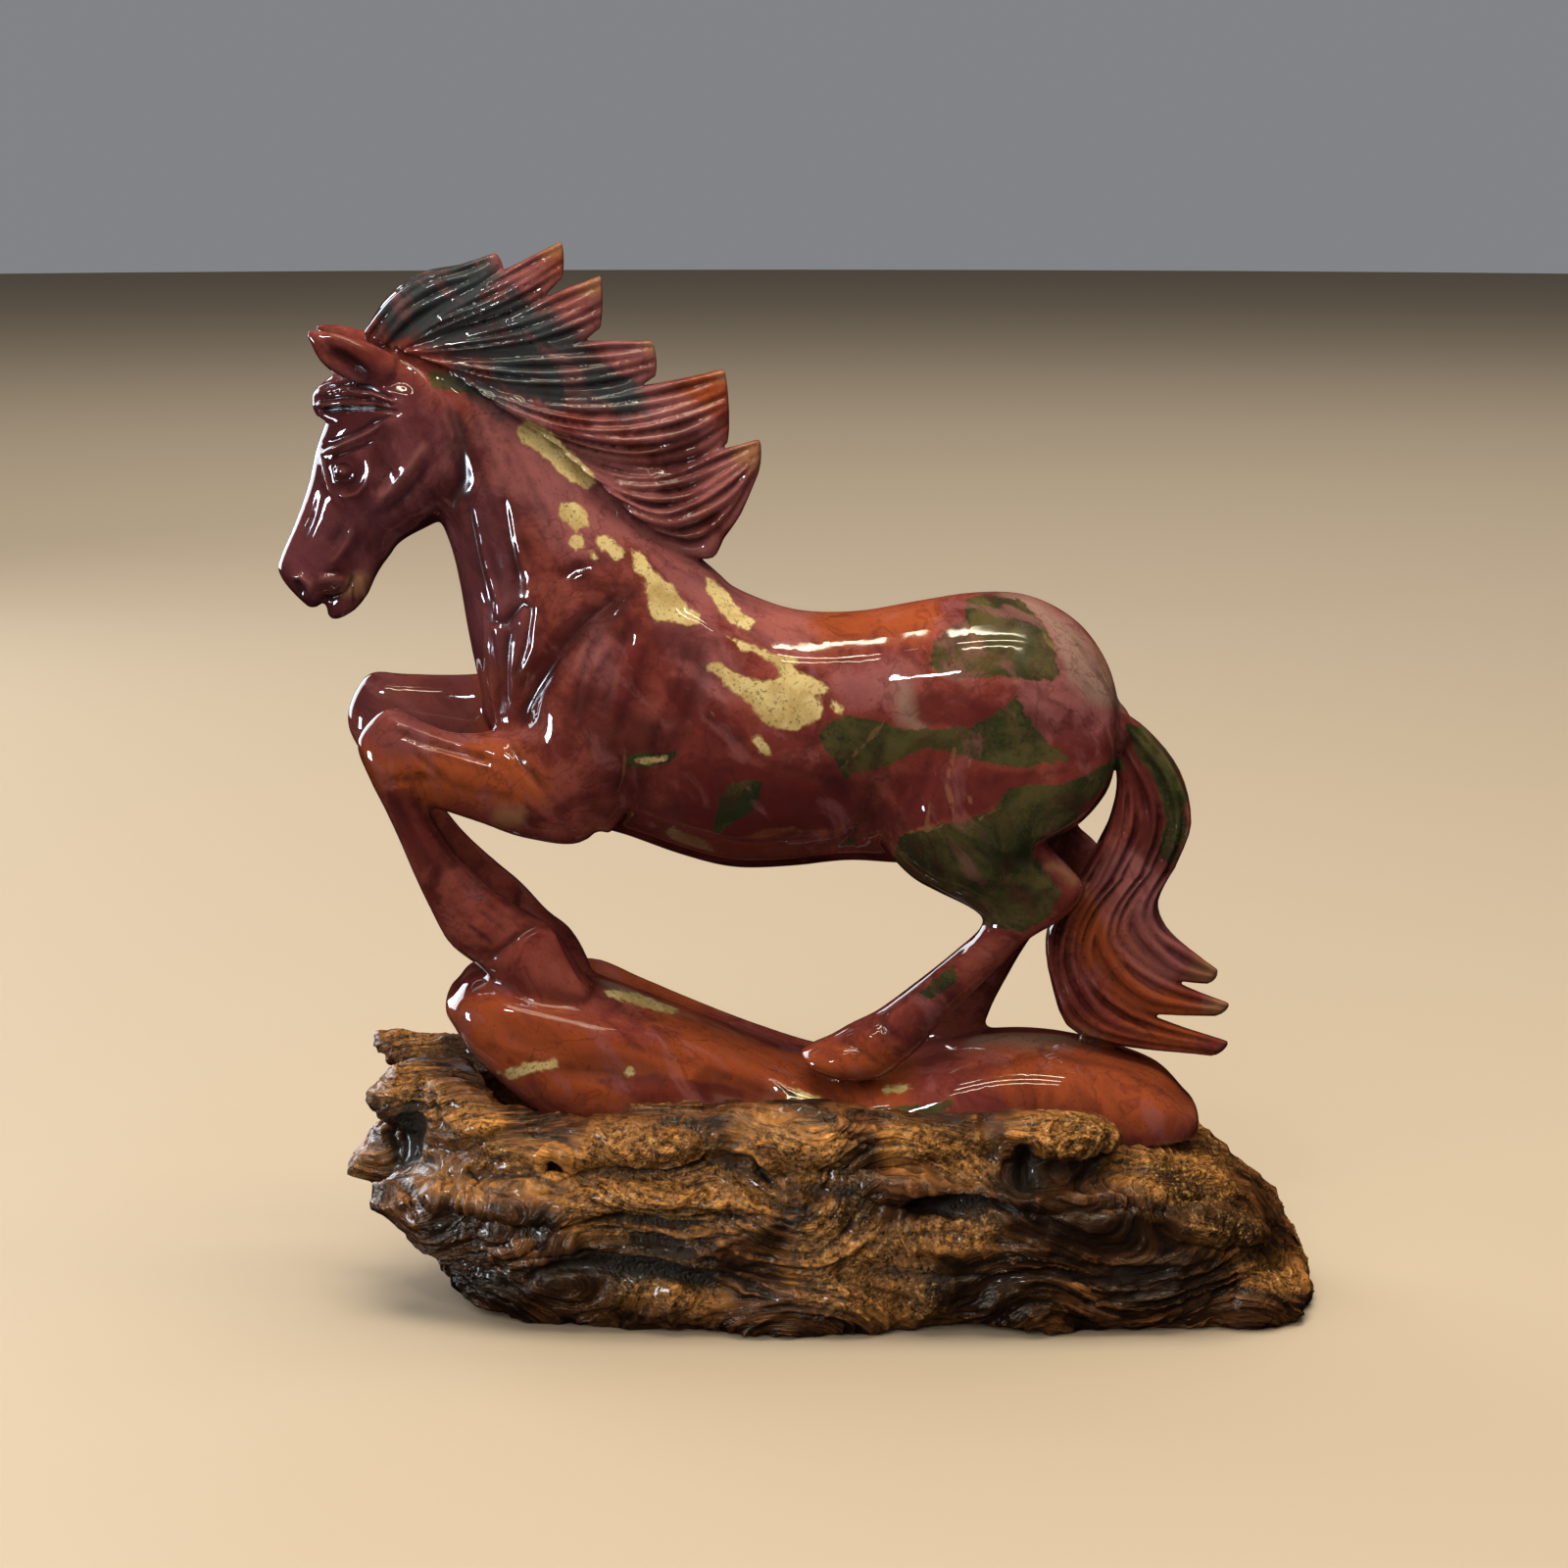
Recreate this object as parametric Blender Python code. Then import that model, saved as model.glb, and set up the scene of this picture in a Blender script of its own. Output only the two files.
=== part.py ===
"""A carved stone horse leaping over its rock ledge, resting in a stand of gnarled root wood.

The carving, horse and ledge together, is one stone. The stand is one piece of wood with a
pocket in its top, and the stone sits in the pocket by its own weight.
"""

import math

import bmesh
import bpy
import numpy as np
from mathutils import Matrix, Vector, noise

# Driving dimensions, in metres.
CARVING_HEIGHT = 0.228
STAND_LENGTH = 0.2460
STAND_DEPTH = 0.090
STAND_HEIGHT = 0.055
POCKET_DEPTH = 0.011
POCKET_CLEARANCE = 0.0016
RESTING_GAP = 0.0003

# The side view that both pieces are laid out on: an upright sheet seen by an eye in front of it
# and a little above, with x to the right, y downwards and depth away from the eye. The horse
# keeps its pose as shares of its own height, and the root wood its growth as shares of the
# stand's length, depth and height.
SHEET_CENTRE = 800
EYE_DISTANCE = 4000
EYE_ELEVATION = math.radians(10)
GROUND_Y = 1327
MIDDLE_X = 817.2
CARVING_UNITS = 912
SEAT_UNITS = 176
STAND_UNITS = Vector((984, 360, 220))
UNIT = CARVING_HEIGHT / CARVING_UNITS
CARVING_SCALE = Vector((UNIT, UNIT, UNIT))
STAND_SCALE = Vector(a / b for a, b in zip((STAND_LENGTH, STAND_DEPTH, STAND_HEIGHT), STAND_UNITS))

# Fineness of the faceted solids.
MASS_VOXEL = CARVING_HEIGHT / 165
CARVING_VOXEL = CARVING_HEIGHT / 215
STAND_VOXEL = STAND_LENGTH / 185
CARVING_TRIANGLES = 6900
STAND_TRIANGLES = 2300

# Sections of the horse's masses. Each runs from one outline point to the opposite one, as
# x, y, x, y, then the half width and the depth behind the sheet.
TORSO = (
    (1147, 712, 1143, 768, 34, 0),
    (1132, 676, 1130, 808, 66, 0),
    (1100, 634, 1092, 846, 92, 0),
    (1050, 607, 1040, 864, 106, 0),
    (995, 604, 985, 874, 108, 0),
    (935, 613, 925, 880, 102, 0),
    (875, 623, 866, 877, 99, 0),
    (815, 622, 806, 883, 104, 0),
    (765, 606, 748, 884, 108, 0),
    (727, 586, 694, 871, 106, 0),
    (690, 570, 640, 852, 100, 0),
    (635, 566, 585, 835, 92, 0),
    (580, 580, 540, 800, 76, 0),
    (540, 630, 510, 750, 52, 0),
)
NECK = (
    (405, 352, 440, 500, 40, 0),
    (430, 356, 450, 530, 44, 0),
    (468, 374, 462, 562, 46, 0),
    (512, 402, 470, 598, 50, 0),
    (556, 436, 477, 640, 56, 0),
    (602, 476, 486, 684, 66, 0),
    (650, 518, 495, 722, 78, 0),
    (700, 556, 520, 770, 90, 0),
    (740, 590, 570, 815, 94, 0),
)
HEAD = (
    (398, 352, 428, 400, 30, 0),
    (372, 368, 452, 430, 40, 0),
    (345, 400, 466, 468, 45, 0),
    (330, 435, 468, 500, 46, 0),
    (321, 462, 458, 524, 45, 0),
    (316, 488, 438, 537, 41, 0),
    (308, 514, 415, 549, 35, 0),
    (298, 540, 392, 568, 30, 0),
    (288, 563, 374, 586, 28, 0),
    (283, 580, 358, 600, 29, 0),
    (291, 595, 342, 607, 26, 0),
    (302, 607, 331, 613, 21, 0),
    (312, 617, 326, 617, 12, 0),
)
LOWER_LIP = (
    (366, 556, 402, 562, 22, 0),
    (348, 580, 386, 584, 22, 0),
    (340, 600, 376, 606, 21, 0),
    (334, 615, 362, 623, 18, 0),
    (334, 625, 346, 632, 11, 0),
)
CHEEK = (
    (360, 400, 440, 402, 26, -20),
    (372, 430, 462, 448, 30, -24),
    (385, 466, 462, 500, 30, -24),
    (400, 500, 440, 528, 24, -18),
)
NEAR_FORELEG = (
    (560, 640, 640, 700, 34, -56),
    (548, 700, 634, 780, 42, -62),
    (540, 736, 602, 856, 42, -62),
    (500, 746, 540, 856, 37, -58),
    (462, 747, 492, 840, 32, -56),
    (428, 735, 452, 827, 30, -55),
    (394, 722, 440, 824, 31, -54),
    (364, 755, 438, 828, 31, -54),
    (376, 792, 440, 832, 28, -54),
    (390, 820, 446, 842, 25, -54),
    (406, 854, 460, 864, 24, -53),
    (422, 892, 482, 888, 23, -52),
    (440, 930, 512, 914, 24, -52),
    (458, 962, 545, 934, 29, -52),
    (486, 984, 562, 944, 29, -52),
    (512, 1004, 570, 952, 33, -52),
    (548, 1022, 582, 975, 36, -52),
    (598, 1020, 598, 1000, 30, -52),
)
FAR_FORELEG = (
    (560, 620, 640, 690, 34, 56),
    (545, 655, 620, 760, 40, 58),
    (520, 680, 570, 800, 38, 56),
    (486, 687, 515, 785, 34, 54),
    (448, 688, 462, 775, 31, 53),
    (410, 687, 425, 768, 30, 52),
    (374, 688, 412, 770, 31, 52),
    (354, 732, 412, 775, 31, 52),
    (372, 772, 416, 782, 28, 50),
    (394, 806, 438, 804, 25, 46),
    (422, 850, 470, 845, 24, 42),
    (448, 890, 502, 875, 24, 40),
    (478, 925, 532, 900, 25, 38),
    (508, 958, 560, 930, 29, 38),
    (534, 984, 580, 945, 31, 38),
    (560, 1008, 595, 968, 34, 38),
    (590, 1022, 608, 1000, 32, 38),
)
NEAR_HIND_LEG = (
    (965, 700, 1085, 690, 24, -48),
    (915, 750, 1130, 730, 44, -58),
    (894, 805, 1136, 782, 52, -62),
    (898, 856, 1112, 828, 50, -66),
    (926, 892, 1084, 846, 47, -66),
    (955, 909, 1066, 856, 43, -66),
    (982, 922, 1074, 866, 38, -66),
    (998, 932, 1092, 884, 34, -66),
    (1003, 940, 1107, 906, 31, -66),
    (996, 952, 1088, 934, 29, -66),
    (980, 966, 1052, 956, 26, -66),
    (958, 984, 1022, 986, 25, -66),
    (932, 1004, 990, 1016, 25, -66),
    (908, 1022, 960, 1044, 27, -66),
    (890, 1034, 942, 1066, 30, -66),
    (868, 1044, 922, 1084, 31, -66),
    (848, 1056, 900, 1098, 36, -66),
    (830, 1064, 866, 1102, 39, -66),
    (820, 1070, 834, 1092, 32, -66),
)
FAR_HIND_LEG = (
    (965, 690, 1085, 680, 24, 48),
    (912, 740, 1128, 720, 44, 56),
    (892, 792, 1136, 772, 50, 60),
    (905, 840, 1118, 812, 48, 62),
    (940, 872, 1102, 830, 44, 62),
    (985, 892, 1100, 842, 38, 62),
    (1018, 906, 1116, 856, 33, 62),
    (1028, 922, 1126, 874, 30, 62),
    (1020, 940, 1108, 902, 28, 62),
    (1004, 958, 1072, 930, 26, 62),
    (988, 980, 1046, 965, 25, 62),
    (968, 1004, 1028, 996, 25, 62),
    (946, 1026, 1014, 1022, 27, 62),
    (926, 1040, 1002, 1048, 30, 62),
    (900, 1052, 975, 1072, 33, 62),
    (880, 1066, 930, 1090, 32, 62),
)
NEAR_EAR = (
    (402, 362, 394, 400, 12, -30),
    (378, 350, 371, 393, 13, -35),
    (354, 343, 346, 384, 11, -39),
    (333, 338, 327, 369, 8, -41),
    (316, 337, 316, 348, 4, -41),
)
FAR_EAR = (
    (402, 350, 394, 390, 12, 30),
    (380, 340, 372, 380, 13, 35),
    (358, 334, 350, 372, 11, 39),
    (340, 331, 334, 358, 8, 41),
    (325, 331, 325, 341, 4, 41),
)
CHEST = (
    (500, 560, 560, 560, 30, -26),
    (490, 620, 560, 630, 36, -31),
    (492, 680, 570, 690, 36, -34),
    (500, 735, 570, 745, 30, -34),
)
SHOULDER = (
    (655, 600, 705, 650, 26, -46),
    (610, 632, 715, 710, 36, -60),
    (570, 680, 690, 768, 38, -66),
    (552, 725, 655, 812, 36, -66),
    (560, 775, 626, 848, 28, -60),
)
LEDGE = (
    (464, 1006, 464, 1034, 62, 0),
    (478, 988, 482, 1062, 84, 0),
    (505, 984, 512, 1094, 98, 0),
    (548, 986, 556, 1132, 106, 0),
    (600, 996, 604, 1160, 110, 0),
    (660, 1018, 660, 1182, 112, 0),
    (720, 1042, 720, 1186, 112, 0),
    (780, 1066, 780, 1186, 110, 0),
    (840, 1084, 840, 1186, 108, 0),
    (900, 1086, 900, 1186, 108, 0),
    (960, 1068, 960, 1186, 108, 0),
    (1020, 1056, 1020, 1186, 106, 0),
    (1080, 1058, 1080, 1186, 104, 0),
    (1140, 1072, 1140, 1184, 98, 0),
    (1185, 1090, 1180, 1176, 86, 0),
    (1212, 1118, 1206, 1160, 62, 0),
)
LEDGE_BACK = (
    (548, 984, 548, 1040, 24, 76),
    (604, 977, 604, 1050, 26, 80),
    (652, 996, 652, 1070, 26, 80),
    (704, 1018, 704, 1090, 26, 80),
    (760, 1040, 760, 1110, 26, 78),
    (820, 1060, 820, 1120, 24, 74),
    (880, 1074, 880, 1124, 20, 70),
)

# Locks of hair. Each is the upper and the lower edge of one lock from root to tip, as x, y
# points, with the half thickness of the hair at each point and the number of strands.
MANE = (
    (
        ((372, 338), (396, 303), (432, 280), (470, 270), (504, 258)),
        ((404, 352), (428, 322), (462, 300), (492, 288), (512, 276)),
        (26, 30, 27, 20, 9),
        3,
    ),
    (
        ((402, 350), (440, 318), (486, 292), (530, 268), (572, 246)),
        ((412, 358), (460, 338), (510, 322), (548, 304), (573, 284)),
        (30, 32, 29, 21, 9),
        3,
    ),
    (
        ((408, 354), (462, 338), (520, 320), (570, 298), (612, 281)),
        ((420, 362), (480, 362), (545, 358), (588, 348), (612, 334)),
        (32, 33, 30, 22, 9),
        3,
    ),
    (
        ((416, 358), (482, 358), (552, 352), (614, 348), (664, 347)),
        ((450, 372), (515, 396), (580, 406), (632, 400), (668, 384)),
        (34, 34, 31, 22, 10),
        3,
    ),
    (
        ((446, 368), (530, 396), (606, 402), (684, 389), (738, 376)),
        ((560, 448), (612, 474), (668, 486), (712, 478), (742, 452)),
        (38, 38, 34, 25, 11),
        4,
    ),
    (
        ((552, 440), (612, 474), (676, 480), (734, 460), (774, 448)),
        ((700, 566), (724, 566), (740, 548), (756, 524), (774, 482)),
        (46, 42, 36, 26, 11),
        4,
    ),
)
FORELOCK = (
    (
        ((404, 388), (372, 384), (346, 384), (326, 394)),
        ((408, 422), (376, 427), (350, 434), (327, 426)),
        (42, 44, 36, 20),
        3,
    ),
)
TAIL = (
    (
        ((1140, 722), (1172, 746), (1202, 788), (1215, 838), (1200, 882)),
        ((1138, 738), (1160, 772), (1180, 806), (1187, 846), (1172, 888)),
        (20, 26, 32, 36, 38),
        3,
    ),
    (
        ((1200, 882), (1181, 918), (1186, 946), (1214, 969), (1241, 988)),
        ((1172, 888), (1146, 926), (1144, 958), (1186, 996), (1232, 1003)),
        (38, 40, 38, 30, 13),
        3,
    ),
    (
        ((1138, 734), (1162, 766), (1184, 800), (1190, 842), (1176, 884)),
        ((1136, 748), (1150, 788), (1160, 822), (1162, 852), (1142, 898)),
        (20, 27, 34, 39, 42),
        3,
    ),
    (
        ((1176, 884), (1150, 922), (1146, 960), (1186, 996), (1253, 1023)),
        ((1142, 898), (1112, 938), (1108, 984), (1160, 1030), (1240, 1036)),
        (42, 43, 42, 34, 13),
        3,
    ),
    (
        ((1136, 746), (1152, 782), (1164, 816), (1166, 848), (1146, 892)),
        ((1134, 760), (1140, 796), (1134, 828), (1122, 858), (1098, 902)),
        (20, 28, 35, 40, 44),
        4,
    ),
    (
        ((1146, 892), (1116, 932), (1108, 980), (1160, 1030), (1252, 1062)),
        ((1098, 902), (1070, 946), (1072, 1000), (1104, 1056), (1236, 1077)),
        (44, 45, 46, 42, 14),
        4,
    ),
)

# The wood: its body, then the knobs, horns, lobes and ribs that grow on it.
STAND_BODY = (
    (432, 1122, 434, 1262, 60, 0),
    (470, 1106, 470, 1306, 104, -8),
    (520, 1104, 520, 1326, 132, -8),
    (580, 1108, 580, 1342, 148, -4),
    (650, 1110, 650, 1344, 158, 0),
    (730, 1110, 730, 1346, 164, 0),
    (810, 1106, 810, 1348, 168, 0),
    (890, 1104, 890, 1344, 168, 0),
    (980, 1106, 980, 1328, 168, 0),
    (1060, 1112, 1060, 1346, 168, 0),
    (1110, 1122, 1110, 1350, 166, 0),
    (1170, 1144, 1172, 1344, 160, 0),
    (1224, 1164, 1226, 1346, 144, 4),
    (1266, 1193, 1270, 1346, 122, 8),
    (1296, 1228, 1300, 1340, 90, 10),
    (1313, 1262, 1315, 1326, 52, 10),
)
BACK_HORN = (
    (500, 1056, 500, 1100, 30, 92),
    (450, 1052, 446, 1092, 24, 98),
    (408, 1049, 408, 1089, 20, 101),
    (386, 1051, 390, 1074, 13, 102),
)
TOP_KNOB = (
    (530, 1094, 530, 1190, 50, -20),
    (472, 1084, 467, 1180, 50, -30),
    (430, 1081, 426, 1168, 44, -36),
    (400, 1090, 398, 1146, 32, -38),
    (386, 1106, 386, 1134, 17, -38),
)
FRONT_RIM = (
    (438, 1102, 434, 1160, 26, -70),
    (475, 1106, 470, 1176, 30, -88),
    (520, 1130, 515, 1194, 32, -102),
    (575, 1146, 572, 1204, 32, -114),
    (640, 1141, 640, 1200, 32, -122),
    (705, 1128, 705, 1190, 28, -124),
)
LEFT_HORN = (
    (440, 1126, 440, 1218, 46, 8),
    (405, 1138, 405, 1206, 34, 14),
    (380, 1156, 380, 1202, 24, 18),
    (362, 1178, 364, 1199, 13, 20),
)
LOW_KNOB = (
    (480, 1176, 480, 1304, 54, -76),
    (434, 1190, 434, 1284, 46, -68),
    (404, 1197, 406, 1256, 34, -62),
    (388, 1208, 390, 1240, 18, -60),
)
KNOT_LOBE = (
    (1020, 1140, 1020, 1192, 26, -124),
    (1066, 1135, 1066, 1190, 34, -132),
    (1108, 1135, 1108, 1186, 32, -130),
    (1134, 1147, 1132, 1176, 20, -124),
)
SWIRL_MOUND = (
    (715, 1132, 715, 1184, 28, -122),
    (770, 1127, 770, 1194, 36, -130),
    (830, 1130, 830, 1200, 38, -132),
    (900, 1139, 900, 1192, 32, -128),
    (970, 1142, 970, 1186, 26, -124),
    (1030, 1144, 1030, 1180, 22, -120),
)
POINTED_KNOT = (
    (1196, 1222, 1196, 1264, 18, -138),
    (1234, 1233, 1234, 1268, 22, -131),
    (1268, 1248, 1268, 1266, 14, -116),
    (1288, 1256, 1288, 1264, 7, -104),
)
END_KNOB = (
    (1262, 1276, 1264, 1350, 44, -72),
    (1294, 1278, 1296, 1348, 42, -62),
    (1314, 1285, 1317, 1341, 33, -54),
    (1325, 1300, 1326, 1328, 18, -50),
)
END_SLOPE = (
    (1140, 1116, 1140, 1190, 40, 92),
    (1213, 1139, 1208, 1214, 44, 84),
    (1258, 1174, 1252, 1250, 44, 74),
    (1299, 1218, 1291, 1290, 38, 60),
    (1320, 1252, 1314, 1300, 26, 44),
)
FOOT_LOBES = (
    ((690, 1250, 690, 1350, 40, -112), (770, 1268, 770, 1361, 46, -122), (860, 1275, 860, 1365, 48, -126)),
    ((860, 1275, 860, 1365, 48, -126), (940, 1285, 940, 1350, 34, -116)),
    ((1010, 1290, 1010, 1346, 34, -114), (1074, 1288, 1074, 1362, 42, -122), (1150, 1290, 1150, 1350, 34, -112)),
    ((1220, 1290, 1220, 1346, 32, -104), (1284, 1294, 1284, 1357, 40, -100), (1318, 1306, 1318, 1348, 28, -90)),
    ((640, 1270, 640, 1316, 30, 120), (740, 1270, 740, 1318, 34, 128), (860, 1266, 860, 1312, 30, 130)),
)
FRONT_RIBS = (
    (
        (440, 1206, 440, 1236, 22, -96),
        (560, 1216, 560, 1248, 26, -134),
        (660, 1204, 660, 1236, 28, -146),
        (790, 1214, 790, 1240, 24, -140),
    ),
    (
        (460, 1256, 460, 1284, 22, -90),
        (560, 1252, 560, 1284, 26, -122),
        (650, 1260, 650, 1290, 28, -134),
        (750, 1282, 750, 1308, 26, -140),
        (850, 1304, 850, 1324, 20, -132),
    ),
    (
        (810, 1186, 810, 1214, 20, -140),
        (950, 1196, 950, 1224, 28, -150),
        (1070, 1206, 1070, 1234, 28, -148),
        (1210, 1206, 1210, 1228, 20, -120),
    ),
    (
        (850, 1244, 850, 1278, 22, -142),
        (960, 1248, 960, 1282, 30, -148),
        (1060, 1258, 1060, 1292, 30, -144),
        (1210, 1272, 1210, 1298, 20, -116),
    ),
)
BACK_RIBS = (
    (
        (500, 1130, 500, 1170, 24, 98),
        (620, 1120, 620, 1164, 28, 128),
        (760, 1118, 760, 1166, 28, 142),
        (900, 1130, 900, 1170, 22, 144),
    ),
    (
        (560, 1200, 560, 1240, 22, 128),
        (700, 1190, 700, 1230, 24, 146),
        (860, 1204, 860, 1242, 24, 152),
        (1010, 1190, 1010, 1228, 20, 148),
    ),
    ((940, 1120, 940, 1176, 26, 146), (1010, 1108, 1010, 1180, 34, 146), (1080, 1116, 1080, 1176, 26, 142)),
    ((1000, 1236, 1000, 1276, 22, 152), (1120, 1226, 1120, 1270, 26, 146), (1230, 1230, 1230, 1274, 22, 124)),
)
POCKET_HOLLOW = (
    (498, 1030, 500, 1124, 48, -10),
    (530, 1036, 532, 1160, 72, -16),
    (576, 1050, 576, 1182, 82, -22),
    (630, 1060, 630, 1182, 84, -24),
    (676, 1070, 676, 1178, 76, -16),
)

# Strokes of the chisel. Each is the side it is on (near, far or both), the half width of the
# groove, its depth, or with a minus sign the height of a ridge, and its line as x, y points.
CARVING_STROKES = (
    ("both", 20, 5, (642, 596), (604, 628), (572, 660), (541, 700), (522, 738)),
    ("both", 20, 4, (706, 650), (716, 690), (694, 750), (660, 800)),
    ("near", 16, 5, (640, 780), (632, 806), (632, 846)),
    ("both", 15, 4, (534, 560), (523, 620), (516, 680), (512, 730)),
    ("both", 15, 4, (452, 440), (474, 500), (500, 560), (520, 620)),
    ("both", 18, 4, (856, 876), (884, 842), (900, 800)),
    ("both", 14, 4, (470, 392), (474, 430), (472, 480), (452, 524)),
    ("both", 13, 5, (372, 500), (352, 500), (340, 494)),
    ("near", 16, 4, (398, 738), (430, 750), (462, 768), (506, 784)),
    ("near", 30, 12, (730, 1110), (776, 1122)),
    ("near", 20, 5, (560, 1090), (640, 1096), (700, 1100)),
)
STAND_STROKES = (
    ("near", 30, 16, (414, 1152), (416, 1178)),
    ("near", 16, 12, (566, 1188), (569, 1189)),
    ("near", 22, 10, (520, 1298), (600, 1292), (680, 1300), (760, 1318)),
    ("near", 18, 13, (905, 1236), (950, 1234), (1000, 1238)),
    ("near", 20, 12, (1042, 1176), (1046, 1206)),
    ("near", 18, 6, (440, 1196), (520, 1202), (620, 1192), (700, 1190)),
    ("near", 18, 6, (700, 1162), (760, 1196), (820, 1216), (900, 1218)),
    ("near", 18, 6, (1010, 1200), (1080, 1198), (1150, 1190), (1200, 1196)),
    ("near", 18, 6, (860, 1298), (960, 1302), (1080, 1304), (1200, 1304)),
    ("far", 18, 6, (520, 1180), (660, 1176), (800, 1180), (960, 1190)),
    ("far", 18, 6, (560, 1256), (720, 1250), (880, 1252), (1040, 1240)),
)
# The wood's own growth: how far its skin swells, and how finely that changes along, across and up.
SWELL_HEIGHT = 0.0026
SWELL_FINENESS = Vector((24, 40, 46))
GRAIN_HEIGHT = 0.0022
GRAIN_FINENESS = Vector((11, 60, 85))

STONE_COLOUR = (0.20, 0.035, 0.022, 1)
WOOD_COLOUR = (0.11, 0.045, 0.016, 1)

FORWARD = Vector((0, math.cos(EYE_ELEVATION), -math.sin(EYE_ELEVATION)))
UPWARD = Vector((0, math.sin(EYE_ELEVATION), math.cos(EYE_ELEVATION)))
EYE = Vector((SHEET_CENTRE - MIDDLE_X, 0, (GROUND_Y - SHEET_CENTRE) / UPWARD.z)) - FORWARD * EYE_DISTANCE


def clear_scene():
    for old in list(bpy.data.objects):
        bpy.data.objects.remove(old)


def sheet_point(x, y, depth, scale):
    """The place where the line of sight through a point of the sheet meets the plane at that depth."""
    ray = FORWARD + (UPWARD * (SHEET_CENTRE - y) + Vector((x - SHEET_CENTRE, 0, 0))) / EYE_DISTANCE
    place = EYE + ray * ((depth - EYE.y) / ray.y)
    return Vector(a * b for a, b in zip(place, scale))


def between(rows, steps):
    """The rows with steps - 1 more between each pair, on a smooth curve through them."""
    last = len(rows) - 1
    smooth = []
    for i in range(last):
        four = [rows[max(i - 1, 0)], rows[i], rows[i + 1], rows[min(i + 2, last)]]
        for step in range(steps):
            t = step / steps
            smooth.append(
                [
                    b + 0.5 * t * (c - a + t * (2 * a - 5 * b + 4 * c - d + t * (3 * (b - c) + d - a)))
                    for a, b, c, d in zip(*four)
                ]
            )
    return smooth + [list(rows[last])]


def ring(shape, centre, up, side, corners, squareness):
    """A closed loop of corners points round centre, drawn out from a circle to a rounded box."""
    made = bmesh.ops.create_circle(shape, segments=corners, radius=1)["verts"]
    for vert in made:
        u, v = (math.copysign(abs(a) ** (2 / squareness), a) for a in vert.co.xy)
        vert.co = centre + up * u + side * v
    return list({edge for vert in made for edge in vert.link_edges})


def domed(frames):
    """The frames with smaller ones before the first and after the last, as a rounded end."""
    ends = []
    for end, following in ((frames[0], frames[1]), (frames[-1], frames[-2])):
        centre, up, side = end
        outward = (centre - following[0]).normalized() * min(up.length, side.length) * 0.6
        slopes = [math.radians(turn) for turn in (75, 50, 25)]
        ends.append([(centre + outward * math.sin(a), up * math.cos(a), side * math.cos(a)) for a in slopes])
    return ends[0] + frames + ends[1][::-1]


def loft(shape, sections, scale=CARVING_SCALE, steps=3, corners=16, squareness=2.0, growth=0.0):
    """Adds a closed form through the sections, with rounded ends, grown by a distance on every side."""
    frames = []
    for x1, y1, x2, y2, half_width, depth in between(sections, steps):
        head, foot = sheet_point(x1, y1, depth, scale), sheet_point(x2, y2, depth, scale)
        up = (head - foot) / 2
        up += up.normalized() * growth
        frames.append(((head + foot) / 2, up, Vector((0, half_width * scale.y + growth, 0))))
    form = bmesh.new()
    rings = [ring(form, *frame, corners, squareness) for frame in domed(frames)]
    for first, second in zip(rings, rings[1:]):
        bmesh.ops.bridge_loops(form, edges=first + second)
    for end in (rings[0], rings[-1]):
        bmesh.ops.edgeloop_fill(form, edges=end)
    bmesh.ops.recalc_face_normals(form, faces=form.faces[:])
    mesh = bpy.data.meshes.new("form")
    form.to_mesh(mesh)
    form.free()
    shape.from_mesh(mesh)
    bpy.data.meshes.remove(mesh)


def lock(shape, upper, lower, thickness, strands):
    """Adds one lock of hair: a solid core with a row of round strands on its near and its far side."""
    loft(shape, [(*a, *b, thick * 0.72, 0) for a, b, thick in zip(upper, lower, thickness)])
    for index in range(strands):
        share = (index + 0.5) / strands
        for side in (-1, 1):
            rows = []
            for a, b, thick in zip(upper, lower, thickness):
                centre = Vector(a).lerp(Vector(b), share)
                reach = (Vector(a) - Vector(b)) * (0.62 / strands)
                bulge = thick * (0.62 + 0.38 * math.sin(math.pi * share))
                rows.append((*(centre + reach), *(centre - reach), bulge / 2, side * bulge / 2))
            loft(shape, rows, corners=8)


def evaluated(mesh, kind, **settings):
    """The mesh after one modifier."""
    holder = bpy.data.objects.new("holder", mesh)
    bpy.context.scene.collection.objects.link(holder)
    modifier = holder.modifiers.new(kind.title(), kind)
    for name, value in settings.items():
        setattr(modifier, name, value)
    graph = bpy.context.evaluated_depsgraph_get()
    changed = bpy.data.meshes.new_from_object(holder.evaluated_get(graph))
    bpy.data.objects.remove(holder)
    return changed


def fused(shape, voxel, rounds):
    """The overlapping forms as one skin, with its creases softened."""
    mesh = bpy.data.meshes.new("fused")
    shape.to_mesh(mesh)
    shape.free()
    skin = evaluated(mesh, "REMESH", mode="VOXEL", voxel_size=voxel)
    return evaluated(skin, "SMOOTH", factor=0.5, iterations=rounds)


def reduced(mesh, triangles):
    """The mesh with about that many triangles."""
    return evaluated(mesh, "DECIMATE", ratio=triangles / (2 * len(mesh.polygons)))


def vertex_values(mesh, name):
    values = np.empty(len(mesh.vertices) * 3)
    mesh.vertices.foreach_get(name, values)
    return values.reshape(-1, 3)


def sheet_spots(points):
    """Where points, in the sheet's units, are seen on the sheet."""
    seen = points - EYE
    along = seen @ FORWARD
    across = EYE_DISTANCE * seen[:, 0] / along
    down = EYE_DISTANCE * (seen @ UPWARD) / along
    return np.stack((SHEET_CENTRE + across, SHEET_CENTRE - down), 1)


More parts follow.
